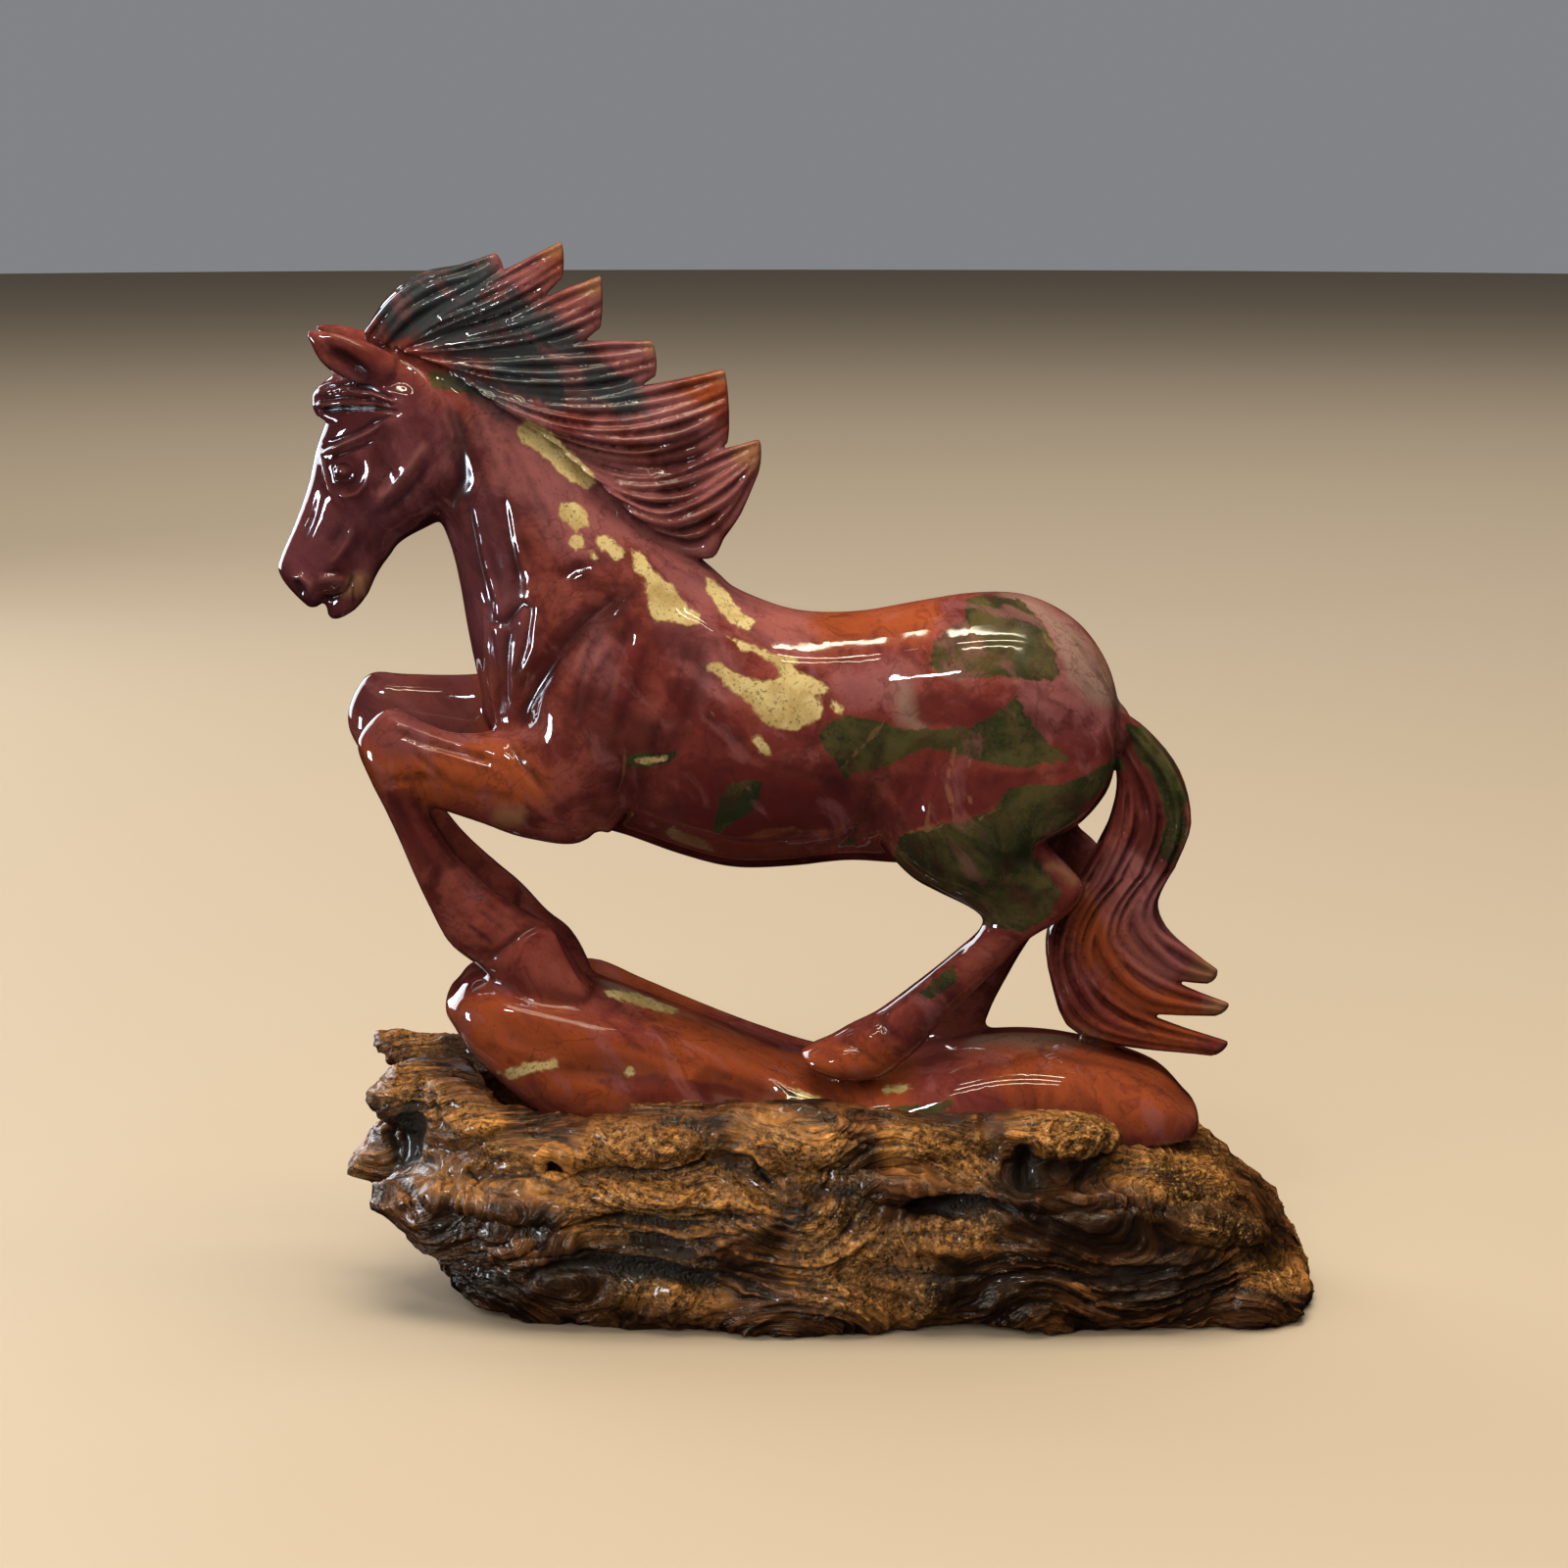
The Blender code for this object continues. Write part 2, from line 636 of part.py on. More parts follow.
def distance_to_line(spots, line):
    """How far each spot is from the nearest part of the line."""
    nearest = np.full(len(spots), np.inf)
    for start, end in zip(line, line[1:]):
        run = np.subtract(end, start)
        share = np.clip((spots - start) @ run / (run @ run), 0, 1)
        nearest = np.minimum(nearest, np.linalg.norm(spots - start - share[:, None] * run, axis=1))
    return nearest


def carved(mesh, strokes, scale):
    """Presses each stroke's groove into the side of the mesh that it is on."""
    for sides, reach, depth, *line in strokes:
        for turn in {"near": (1,), "far": (-1,), "both": (1, -1)}[sides]:
            points = vertex_values(mesh, "co")
            normals = vertex_values(mesh, "normal")
            spots = sheet_spots(points * (1, turn, 1) / scale)
            fade = np.clip(1 - distance_to_line(spots, line) / reach, 0, 1)
            fade = fade * fade * (3 - 2 * fade)
            fade *= np.clip(-2 * turn * normals[:, 1], 0, 1) * (points[:, 1] * turn < 0)
            points -= normals * (depth * scale.y * fade)[:, None]
            mesh.vertices.foreach_set("co", points.ravel())
            mesh.update()


def weathered(mesh):
    """Swells the wood's skin in soft lumps, with ridges of grain that run along it."""
    points = vertex_values(mesh, "co")
    swelling = np.empty(len(points))
    for index, point in enumerate(points):
        lump = noise.noise(SWELL_FINENESS * Vector(point))
        ridge = 0.5 - abs(noise.noise(GRAIN_FINENESS * Vector(point) + Vector((lump, lump, lump))))
        swelling[index] = lump * SWELL_HEIGHT + ridge * GRAIN_HEIGHT
    points += vertex_values(mesh, "normal") * swelling[:, None]
    mesh.vertices.foreach_set("co", points.ravel())
    mesh.update()


def cut_flat(mesh, height):
    """Removes what lies below a height and closes the cut with a flat face."""
    shape = bmesh.new()
    shape.from_mesh(mesh)
    cut = bmesh.ops.bisect_plane(
        shape,
        geom=shape.verts[:] + shape.edges[:] + shape.faces[:],
        plane_co=(0, 0, height),
        plane_no=(0, 0, 1),
        clear_inner=True,
    )
    edges = [item for item in cut["geom_cut"] if isinstance(item, bmesh.types.BMEdge)]
    bmesh.ops.holes_fill(shape, edges=edges, sides=0)
    bmesh.ops.triangulate(shape, faces=shape.faces[:])
    bmesh.ops.recalc_face_normals(shape, faces=shape.faces[:])
    shape.to_mesh(mesh)
    shape.free()


def material(name, colour, roughness):
    made = bpy.data.materials.new(name)
    made.use_nodes = True
    shader = made.node_tree.nodes["Principled BSDF"]
    shader.inputs["Base Color"].default_value = colour
    shader.inputs["Roughness"].default_value = roughness
    shader.inputs["Metallic"].default_value = 0
    return made


def finished(name, mesh, finish):
    made = bpy.data.objects.new(name, mesh)
    mesh.materials.append(finish)
    mesh.shade_smooth()
    mesh.set_sharp_from_angle(angle=math.radians(50))
    bpy.context.scene.collection.objects.link(made)
    return made


def seat_height():
    """Height of the pocket's floor above the table."""
    return STAND_HEIGHT - POCKET_DEPTH


def raised(mesh):
    """Moves a mesh from where the sheet has it to where the stand's seat carries it."""
    mesh.transform(Matrix.Translation((0, 0, seat_height() - SEAT_UNITS * UNIT)))


def centred(meshes):
    """Moves all the meshes together, so that the first two have their middle on the origin."""
    corners = np.vstack([vertex_values(mesh, "co") for mesh in meshes[:2]])
    middle = (corners.min(0) + corners.max(0)) / 2
    for mesh in meshes:
        mesh.transform(Matrix.Translation((-middle[0], -middle[1], 0)))


def carving():
    """The whole stone: the masses of the horse and its ledge, then ears, mane and tail on them."""
    masses = bmesh.new()
    for sections in (TORSO, NECK, HEAD, LOWER_LIP, NEAR_FORELEG, FAR_FORELEG, NEAR_HIND_LEG, FAR_HIND_LEG):
        loft(masses, sections)
    for sections in (CHEEK, CHEST, SHOULDER):
        loft(masses, sections)
        loft(masses, [(*row[:5], -row[5]) for row in sections])
    loft(masses, LEDGE, squareness=2.6, corners=24)
    loft(masses, LEDGE_BACK)
    detailed = bmesh.new()
    detailed.from_mesh(fused(masses, MASS_VOXEL, 4))
    for sections in (NEAR_EAR, FAR_EAR):
        loft(detailed, sections)
    for upper, lower, thickness, strands in MANE + FORELOCK + TAIL:
        lock(detailed, upper, lower, thickness, strands)
    stone = fused(detailed, CARVING_VOXEL, 1)
    carved(stone, CARVING_STROKES, CARVING_SCALE)
    stone = reduced(stone, CARVING_TRIANGLES)
    raised(stone)
    cut_flat(stone, seat_height() + RESTING_GAP)
    return stone


def root_wood():
    """The wood before its pocket is cut: a gnarled block with knobs and horns, flat below."""
    block = bmesh.new()
    loft(block, STAND_BODY, STAND_SCALE, corners=28, squareness=2.8)
    knobs = (BACK_HORN, TOP_KNOB, FRONT_RIM, LEFT_HORN, LOW_KNOB, KNOT_LOBE, SWIRL_MOUND, POINTED_KNOT)
    for sections in (*knobs, END_KNOB, END_SLOPE, *FOOT_LOBES, *FRONT_RIBS, *BACK_RIBS):
        loft(block, sections, STAND_SCALE)
    wood = fused(block, STAND_VOXEL, 6)
    carved(wood, STAND_STROKES, STAND_SCALE)
    weathered(wood)
    wood = reduced(wood, STAND_TRIANGLES)
    cut_flat(wood, 0)
    return wood


def room_for_stone(sections, growth):
    """What the wood loses to make room: the form grown by a distance, down to the seat's height."""
    room = bmesh.new()
    loft(room, sections, corners=24, squareness=2.6, growth=growth)
    mesh = bpy.data.meshes.new("room")
    room.to_mesh(mesh)
    room.free()
    raised(mesh)
    cut_flat(mesh, seat_height())
    return mesh


def cut_out(target, name, mesh):
    """Cuts the mesh's form out of the target."""
    cutter = bpy.data.objects.new(name, mesh)
    cutter.hide_render = True
    cutter.display_type = "WIRE"
    bpy.context.scene.collection.objects.link(cutter)
    cut = target.modifiers.new(name, "BOOLEAN")
    cut.operation = "DIFFERENCE"
    cut.object = cutter


def main():
    clear_scene()
    stone, wood = carving(), root_wood()
    pocket, hollow = room_for_stone(LEDGE, POCKET_CLEARANCE), room_for_stone(POCKET_HOLLOW, 0)
    centred((stone, wood, pocket, hollow))
    finished("stone_horse", stone, material("polished_stone", STONE_COLOUR, 0.12))
    stand = finished("wood_stand", wood, material("lacquered_root_wood", WOOD_COLOUR, 0.32))
    cut_out(stand, "pocket", pocket)
    cut_out(stand, "hollow", hollow)


main()
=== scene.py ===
"""The finished look of a carved stone horse that leaps over its rock ledge, in a root-wood stand.

The stone and the wood are each modelled again, far finer than the solids that they stand for, and
get polished, veined stone and lacquered, gnarled wood. The stage is a pale floor and soft lights.
"""

import math

import bmesh
import bpy
import numpy as np
from bpy.props import FloatProperty, FloatVectorProperty, IntProperty, PointerProperty
from mathutils import Matrix, Vector, noise


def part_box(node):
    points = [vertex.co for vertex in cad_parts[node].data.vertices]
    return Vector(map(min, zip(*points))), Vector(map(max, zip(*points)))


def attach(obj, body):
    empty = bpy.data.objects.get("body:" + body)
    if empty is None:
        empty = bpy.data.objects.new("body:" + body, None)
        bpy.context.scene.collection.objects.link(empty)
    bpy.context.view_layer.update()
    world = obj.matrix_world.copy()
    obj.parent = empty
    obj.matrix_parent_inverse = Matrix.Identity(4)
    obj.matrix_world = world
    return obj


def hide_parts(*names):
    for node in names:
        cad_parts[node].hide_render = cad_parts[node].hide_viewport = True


bl_info = {
    "name": "Stone horse on root wood",
    "version": (1, 0, 0),
    "blender": (4, 5, 0),
    "location": "3D View > Sidebar > Stone Horse",
    "description": "Models and finishes a polished stone horse in a stand of root wood",
    "category": "Add Mesh",
}

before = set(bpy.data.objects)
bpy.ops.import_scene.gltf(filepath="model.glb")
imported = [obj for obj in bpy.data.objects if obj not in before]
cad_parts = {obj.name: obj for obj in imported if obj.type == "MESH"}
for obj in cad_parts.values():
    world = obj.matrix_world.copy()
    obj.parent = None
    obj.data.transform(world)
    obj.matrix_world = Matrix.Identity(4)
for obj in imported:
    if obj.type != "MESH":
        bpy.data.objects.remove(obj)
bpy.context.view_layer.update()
STONE_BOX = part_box("stone_horse")
WOOD_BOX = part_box("wood_stand")

# The side view that both pieces are laid out on: an upright sheet seen by an eye in front of it
# and a little above, with x to the right, y downwards and depth away from the eye, all in units.
SHEET_CENTRE = 800
EYE_DISTANCE = 4000
EYE_ELEVATION = math.radians(10)
# Where the ground and the object's middle are on the sheet.
GROUND_Y = 1327
MIDDLE_X = 817.2
# The carving's height, how far its resting face is above the ground, and the size of the wood's body.
CARVING_UNITS = 912
SEAT_UNITS = 176
STAND_UNITS = Vector((984, 360, 220))
# How far the two pieces together are moved, in metres, so that their middle is on the origin.
CENTRE_SHIFT = Vector((-0.0006046, 0.0000722, 0))
# The room between the stone and the pocket's floor, in metres.
RESTING_GAP = 0.0003

FORWARD = Vector((0, math.cos(EYE_ELEVATION), -math.sin(EYE_ELEVATION)))
UPWARD = Vector((0, math.sin(EYE_ELEVATION), math.cos(EYE_ELEVATION)))
EYE = Vector((SHEET_CENTRE - MIDDLE_X, 0, (GROUND_Y - SHEET_CENTRE) / UPWARD.z)) - FORWARD * EYE_DISTANCE

# Sections of the horse's masses. Each runs from one outline point to the opposite one, as
# x, y, x, y, then the half width and the depth behind the sheet.
TORSO = (
    (1141, 716, 1137, 772, 34, 0),
    (1130, 676, 1128, 808, 66, 0),
    (1100, 634, 1092, 846, 92, 0),
    (1050, 607, 1040, 864, 106, 0),
    (995, 604, 985, 874, 108, 0),
    (935, 613, 925, 880, 102, 0),
    (875, 623, 866, 877, 99, 0),
    (815, 622, 806, 883, 104, 0),
    (765, 606, 748, 884, 108, 0),
    (727, 586, 694, 871, 106, 0),
    (690, 570, 640, 852, 100, 0),
    (635, 566, 585, 835, 92, 0),
    (580, 580, 540, 800, 76, 0),
    (540, 630, 510, 750, 52, 0),
)
NECK = (
    (405, 352, 440, 500, 40, 0),
    (430, 356, 450, 530, 44, 0),
    (468, 374, 462, 562, 46, 0),
    (512, 402, 470, 598, 50, 0),
    (556, 436, 477, 640, 56, 0),
    (602, 476, 486, 684, 66, 0),
    (650, 518, 495, 722, 78, 0),
    (700, 556, 520, 770, 90, 0),
    (740, 590, 570, 815, 94, 0),
)
HEAD = (
    (398, 352, 428, 400, 30, 0),
    (372, 368, 452, 430, 40, 0),
    (345, 400, 466, 468, 45, 0),
    (330, 435, 468, 500, 46, 0),
    (321, 462, 458, 524, 45, 0),
    (316, 488, 438, 537, 41, 0),
    (308, 514, 415, 549, 35, 0),
    (298, 540, 392, 568, 30, 0),
    (288, 563, 374, 586, 28, 0),
    (283, 580, 358, 600, 29, 0),
    (291, 595, 342, 607, 26, 0),
    (302, 607, 331, 613, 21, 0),
    (312, 617, 326, 617, 12, 0),
)
LOWER_LIP = (
    (366, 556, 402, 562, 22, 0),
    (348, 580, 386, 584, 22, 0),
    (340, 600, 376, 606, 21, 0),
    (334, 615, 362, 623, 18, 0),
    (334, 625, 346, 632, 11, 0),
)
CHEEK = (
    (360, 400, 440, 402, 26, -20),
    (372, 430, 462, 448, 30, -24),
    (385, 466, 462, 500, 30, -24),
    (400, 500, 440, 528, 24, -18),
)
NEAR_FORELEG = (
    (560, 640, 640, 700, 34, -56),
    (548, 700, 634, 780, 42, -62),
    (540, 736, 602, 856, 42, -62),
    (500, 746, 540, 856, 37, -58),
    (462, 747, 492, 840, 32, -56),
    (428, 735, 452, 827, 30, -55),
    (394, 722, 440, 824, 31, -54),
    (364, 755, 438, 828, 31, -54),
    (376, 792, 440, 832, 28, -54),
    (390, 820, 446, 842, 25, -54),
    (406, 854, 460, 864, 24, -53),
    (422, 892, 482, 888, 23, -52),
    (440, 930, 512, 914, 24, -52),
    (458, 962, 545, 934, 29, -52),
    (486, 984, 562, 944, 29, -52),
    (512, 1004, 570, 952, 33, -52),
    (548, 1022, 582, 975, 36, -52),
    (598, 1020, 598, 1000, 30, -52),
)
FAR_FORELEG = (
    (560, 620, 640, 690, 34, 56),
    (545, 655, 620, 760, 40, 58),
    (520, 680, 570, 800, 38, 56),
    (486, 687, 515, 785, 34, 54),
    (448, 688, 462, 775, 31, 53),
    (410, 687, 425, 768, 30, 52),
    (374, 688, 412, 770, 31, 52),
    (354, 732, 412, 775, 31, 52),
    (372, 772, 416, 782, 28, 50),
    (394, 806, 438, 804, 25, 46),
    (422, 850, 470, 845, 24, 42),
    (448, 890, 502, 875, 24, 40),
    (478, 925, 532, 900, 25, 38),
    (508, 958, 560, 930, 29, 38),
    (534, 984, 580, 945, 31, 38),
    (560, 1008, 595, 968, 34, 38),
    (590, 1022, 608, 1000, 32, 38),
)
NEAR_HIND_LEG = (
    (965, 700, 1085, 690, 24, -48),
    (915, 750, 1130, 730, 44, -58),
    (894, 805, 1136, 782, 52, -62),
    (898, 856, 1112, 828, 50, -66),
    (926, 892, 1084, 846, 47, -66),
    (955, 909, 1066, 856, 43, -66),
    (982, 922, 1074, 866, 38, -66),
    (998, 932, 1092, 884, 34, -66),
    (1003, 940, 1107, 906, 31, -66),
    (996, 952, 1088, 934, 29, -66),
    (980, 966, 1052, 956, 26, -66),
    (958, 984, 1022, 986, 25, -66),
    (932, 1004, 990, 1016, 25, -66),
    (908, 1022, 960, 1044, 27, -66),
    (890, 1034, 942, 1066, 30, -66),
    (868, 1044, 922, 1084, 31, -66),
    (848, 1056, 900, 1098, 36, -66),
    (830, 1064, 866, 1102, 39, -66),
    (820, 1070, 834, 1092, 32, -66),
)
FAR_HIND_LEG = (
    (965, 690, 1085, 680, 24, 48),
    (912, 740, 1128, 720, 44, 56),
    (892, 792, 1136, 772, 50, 60),
    (905, 840, 1118, 812, 48, 62),
    (940, 872, 1102, 830, 44, 62),
    (985, 892, 1100, 842, 38, 62),
    (1018, 906, 1116, 856, 33, 62),
    (1028, 922, 1126, 874, 30, 62),
    (1020, 940, 1108, 902, 28, 62),
    (1004, 958, 1072, 930, 26, 62),
    (988, 980, 1046, 965, 25, 62),
    (968, 1004, 1028, 996, 25, 62),
    (946, 1026, 1014, 1022, 27, 62),
    (926, 1040, 1002, 1048, 30, 62),
    (900, 1052, 975, 1072, 33, 62),
    (880, 1066, 930, 1090, 32, 62),
)
NEAR_EAR = (
    (402, 362, 394, 400, 12, -30),
    (378, 350, 371, 393, 13, -35),
    (354, 343, 346, 384, 11, -39),
    (333, 338, 327, 369, 8, -41),
    (316, 337, 316, 348, 4, -41),
)
FAR_EAR = (
    (402, 350, 394, 390, 12, 30),
    (380, 340, 372, 380, 13, 35),
    (358, 334, 350, 372, 11, 39),
    (340, 331, 334, 358, 8, 41),
    (325, 331, 325, 341, 4, 41),
)
CHEST = (
    (500, 560, 560, 560, 30, -26),
    (490, 620, 560, 630, 36, -31),
    (492, 680, 570, 690, 36, -34),
    (500, 735, 570, 745, 30, -34),
)
SHOULDER = (
    (655, 600, 705, 650, 26, -46),
    (610, 632, 715, 710, 36, -60),
    (570, 680, 690, 768, 38, -66),
    (552, 725, 655, 812, 36, -66),
    (560, 775, 626, 848, 28, -60),
)
LEDGE = (
    (464, 1006, 464, 1034, 62, 0),
    (478, 988, 482, 1062, 84, 0),
    (505, 984, 512, 1094, 98, 0),
    (548, 986, 556, 1132, 106, 0),
    (600, 996, 604, 1160, 110, 0),
    (660, 1018, 660, 1182, 112, 0),
    (720, 1042, 720, 1186, 112, 0),
    (780, 1066, 780, 1186, 110, 0),
    (840, 1084, 840, 1186, 108, 0),
    (900, 1086, 900, 1186, 108, 0),
    (960, 1068, 960, 1186, 108, 0),
    (1020, 1056, 1020, 1186, 106, 0),
    (1080, 1058, 1080, 1186, 104, 0),
    (1140, 1072, 1140, 1184, 98, 0),
    (1185, 1090, 1180, 1176, 86, 0),
    (1212, 1118, 1206, 1160, 62, 0),
)
LEDGE_BACK = (
    (548, 984, 548, 1040, 24, 76),
    (604, 977, 604, 1050, 26, 80),
    (652, 996, 652, 1070, 26, 80),
    (704, 1018, 704, 1090, 26, 80),
    (760, 1040, 760, 1110, 26, 78),
    (820, 1060, 820, 1120, 24, 74),
    (880, 1074, 880, 1124, 20, 70),
)
SINGLE_MASSES = (TORSO, NECK, HEAD, LOWER_LIP, NEAR_FORELEG, FAR_FORELEG, NEAR_HIND_LEG, FAR_HIND_LEG)
# These are given for the near side and are on the far side too.
PAIRED_MASSES = (CHEEK, CHEST, SHOULDER)
LEDGE_FORM = {"corners": 32, "squareness": 2.6}
# How many voxels the carving is high while its masses are fused.
MASS_VOXELS = 230

# Locks of hair. Each is the upper and the lower edge of one lock from root to tip, as x, y
# points, with the half thickness of the hair at each point and the number of strands.
MANE = (
    (
        ((372, 338), (396, 303), (432, 280), (470, 270), (504, 258)),
        ((406, 356), (432, 332), (466, 312), (497, 295), (513, 278)),
        (26, 30, 27, 20, 9),
        4,
    ),
    (
        ((402, 350), (440, 318), (486, 292), (530, 268), (572, 246)),
        ((412, 358), (460, 338), (510, 322), (548, 304), (573, 284)),
        (30, 32, 29, 21, 9),
        5,
    ),
    (
        ((408, 354), (462, 338), (520, 320), (570, 298), (612, 281)),
        ((420, 362), (480, 362), (545, 358), (588, 348), (612, 334)),
        (32, 33, 30, 22, 9),
        5,
    ),
    (
        ((416, 358), (482, 358), (552, 352), (614, 348), (664, 347)),
        ((450, 372), (515, 396), (580, 406), (632, 400), (668, 384)),
        (34, 34, 31, 22, 10),
        5,
    ),
    (
        ((446, 368), (530, 396), (606, 402), (684, 389), (738, 376)),
        ((560, 448), (612, 474), (668, 486), (712, 478), (742, 452)),
        (38, 38, 34, 25, 11),
        8,
    ),
    (
        ((552, 440), (612, 474), (676, 480), (734, 460), (774, 448)),
        ((700, 566), (724, 566), (740, 548), (756, 524), (774, 482)),
        (46, 42, 36, 26, 11),
        7,
    ),
)
FORELOCK = (
    (
        ((404, 388), (372, 384), (346, 384), (326, 394)),
        ((408, 422), (376, 427), (350, 434), (327, 426)),
        (42, 44, 36, 20),
        3,
    ),
)
TAIL = (
    (
        ((1140, 722), (1172, 746), (1202, 788), (1215, 838), (1200, 882)),
        ((1138, 738), (1160, 772), (1180, 806), (1187, 846), (1172, 888)),
        (20, 26, 32, 36, 38),
        3,
    ),
    (
        ((1200, 882), (1181, 918), (1186, 946), (1214, 969), (1241, 988)),
        ((1172, 888), (1146, 926), (1144, 958), (1186, 996), (1232, 1003)),
        (38, 40, 38, 30, 13),
        3,
    ),
    (
        ((1138, 734), (1162, 766), (1184, 800), (1190, 842), (1176, 884)),
        ((1136, 748), (1150, 788), (1160, 822), (1162, 852), (1142, 898)),
        (20, 27, 34, 39, 42),
        3,
    ),
    (
        ((1176, 884), (1150, 922), (1146, 960), (1186, 996), (1253, 1023)),
        ((1142, 898), (1112, 938), (1108, 984), (1160, 1030), (1240, 1036)),
        (42, 43, 42, 34, 13),
        3,
    ),
    (
        ((1136, 746), (1152, 782), (1164, 816), (1166, 848), (1146, 892)),
        ((1134, 760), (1140, 796), (1134, 828), (1122, 858), (1098, 902)),
        (20, 28, 35, 40, 44),
        4,
    ),
    (
        ((1146, 892), (1116, 932), (1108, 980), (1160, 1030), (1252, 1062)),
        ((1098, 902), (1070, 946), (1072, 1000), (1104, 1056), (1236, 1077)),
        (44, 45, 46, 42, 14),
        4,
    ),
)

# The wood: its body, then the knobs, horns, lobes and ribs that grow on it.
STAND_BODY = (
    (432, 1122, 434, 1262, 60, 0),
    (470, 1106, 470, 1306, 104, -8),
    (520, 1104, 520, 1326, 132, -8),
    (580, 1108, 580, 1342, 148, -4),
    (650, 1110, 650, 1344, 158, 0),
    (730, 1110, 730, 1346, 164, 0),
    (810, 1106, 810, 1348, 168, 0),
    (890, 1104, 890, 1344, 168, 0),
    (980, 1106, 980, 1328, 168, 0),
    (1060, 1112, 1060, 1346, 168, 0),
    (1110, 1122, 1110, 1350, 166, 0),
    (1170, 1144, 1172, 1344, 160, 0),
    (1224, 1164, 1226, 1346, 144, 4),
    (1266, 1193, 1270, 1346, 122, 8),
    (1296, 1228, 1300, 1340, 90, 10),
    (1313, 1262, 1315, 1326, 52, 10),
)
WOOD_GROWTHS = (
    ((500, 1056, 500, 1100, 30, 92), (450, 1052, 446, 1092, 24, 98), (408, 1049, 408, 1089, 20, 101),
     (386, 1051, 390, 1074, 13, 102)),
    ((530, 1094, 530, 1190, 50, -20), (472, 1084, 467, 1180, 50, -30), (430, 1081, 426, 1168, 44, -36),
     (400, 1090, 398, 1146, 32, -38), (386, 1106, 386, 1134, 17, -38)),
    ((438, 1102, 434, 1160, 26, -70), (475, 1106, 470, 1176, 30, -88), (520, 1130, 515, 1194, 32, -102),
     (575, 1146, 572, 1204, 32, -114), (640, 1141, 640, 1200, 32, -122),
     (705, 1128, 705, 1190, 28, -124)),
    ((440, 1126, 440, 1218, 46, 8), (405, 1138, 405, 1206, 34, 14), (380, 1156, 380, 1202, 24, 18),
     (362, 1178, 364, 1199, 13, 20)),
    ((480, 1176, 480, 1304, 54, -76), (434, 1190, 434, 1284, 46, -68), (404, 1197, 406, 1256, 34, -62),
     (388, 1208, 390, 1240, 18, -60)),
    ((1020, 1140, 1020, 1192, 26, -124), (1066, 1135, 1066, 1190, 34, -132),
     (1108, 1135, 1108, 1186, 32, -130), (1134, 1147, 1132, 1176, 20, -124)),
    ((715, 1132, 715, 1184, 28, -122), (770, 1127, 770, 1194, 36, -130), (830, 1130, 830, 1200, 38, -132),
     (900, 1139, 900, 1192, 32, -128), (970, 1142, 970, 1186, 26, -124),
     (1030, 1144, 1030, 1180, 22, -120)),
    ((1196, 1222, 1196, 1264, 18, -138), (1234, 1233, 1234, 1268, 22, -131),
     (1268, 1248, 1268, 1266, 14, -116), (1288, 1256, 1288, 1264, 7, -104)),
    ((1262, 1276, 1264, 1350, 44, -72), (1294, 1278, 1296, 1348, 42, -62),
     (1314, 1285, 1317, 1341, 33, -54), (1325, 1300, 1326, 1328, 18, -50)),
    ((1140, 1116, 1140, 1190, 40, 92), (1213, 1139, 1208, 1214, 44, 84), (1258, 1174, 1252, 1250, 44, 74),
     (1299, 1218, 1291, 1290, 38, 60), (1320, 1252, 1314, 1300, 26, 44)),
    ((690, 1250, 690, 1350, 40, -112), (770, 1268, 770, 1361, 46, -122), (860, 1275, 860, 1365, 48, -126)),
    ((860, 1275, 860, 1365, 48, -126), (940, 1285, 940, 1350, 34, -116)),
    ((1010, 1290, 1010, 1346, 34, -114), (1074, 1288, 1074, 1362, 42, -122),
     (1150, 1290, 1150, 1350, 34, -112)),
    ((1220, 1290, 1220, 1346, 32, -104), (1284, 1294, 1284, 1357, 40, -100),
     (1318, 1306, 1318, 1348, 28, -90)),
    ((640, 1270, 640, 1316, 30, 120), (740, 1270, 740, 1318, 34, 128), (860, 1266, 860, 1312, 30, 130)),
    ((440, 1206, 440, 1236, 22, -96), (560, 1216, 560, 1248, 26, -134), (660, 1204, 660, 1236, 28, -146),
     (790, 1214, 790, 1240, 24, -140)),
    ((460, 1256, 460, 1284, 22, -90), (560, 1252, 560, 1284, 26, -122), (650, 1260, 650, 1290, 28, -134),
     (750, 1282, 750, 1308, 26, -140), (850, 1304, 850, 1324, 20, -132)),
    ((810, 1186, 810, 1214, 20, -140), (950, 1196, 950, 1224, 28, -150), (1070, 1206, 1070, 1234, 28, -148),
     (1210, 1206, 1210, 1228, 20, -120)),
    ((850, 1244, 850, 1278, 22, -142), (960, 1248, 960, 1282, 30, -148), (1060, 1258, 1060, 1292, 30, -144),
     (1210, 1272, 1210, 1298, 20, -116)),
    ((500, 1130, 500, 1170, 24, 98), (620, 1120, 620, 1164, 28, 128), (760, 1118, 760, 1166, 28, 142),
     (900, 1130, 900, 1170, 22, 144)),
    ((560, 1200, 560, 1240, 22, 128), (700, 1190, 700, 1230, 24, 146), (860, 1204, 860, 1242, 24, 152),
     (1010, 1190, 1010, 1228, 20, 148)),
    ((940, 1120, 940, 1176, 26, 146), (1010, 1108, 1010, 1180, 34, 146), (1080, 1116, 1080, 1176, 26, 142)),
    ((1000, 1236, 1000, 1276, 22, 152), (1120, 1226, 1120, 1270, 26, 146),
     (1230, 1230, 1230, 1274, 22, 124)),
)
# The hollow in the wood under the ledge's left lobe.
POCKET_HOLLOW = (
    (498, 1030, 500, 1124, 48, -10),
    (530, 1036, 532, 1160, 72, -16),
    (576, 1050, 576, 1182, 82, -22),
    (630, 1060, 630, 1182, 84, -24),
    (676, 1070, 676, 1178, 76, -16),
)


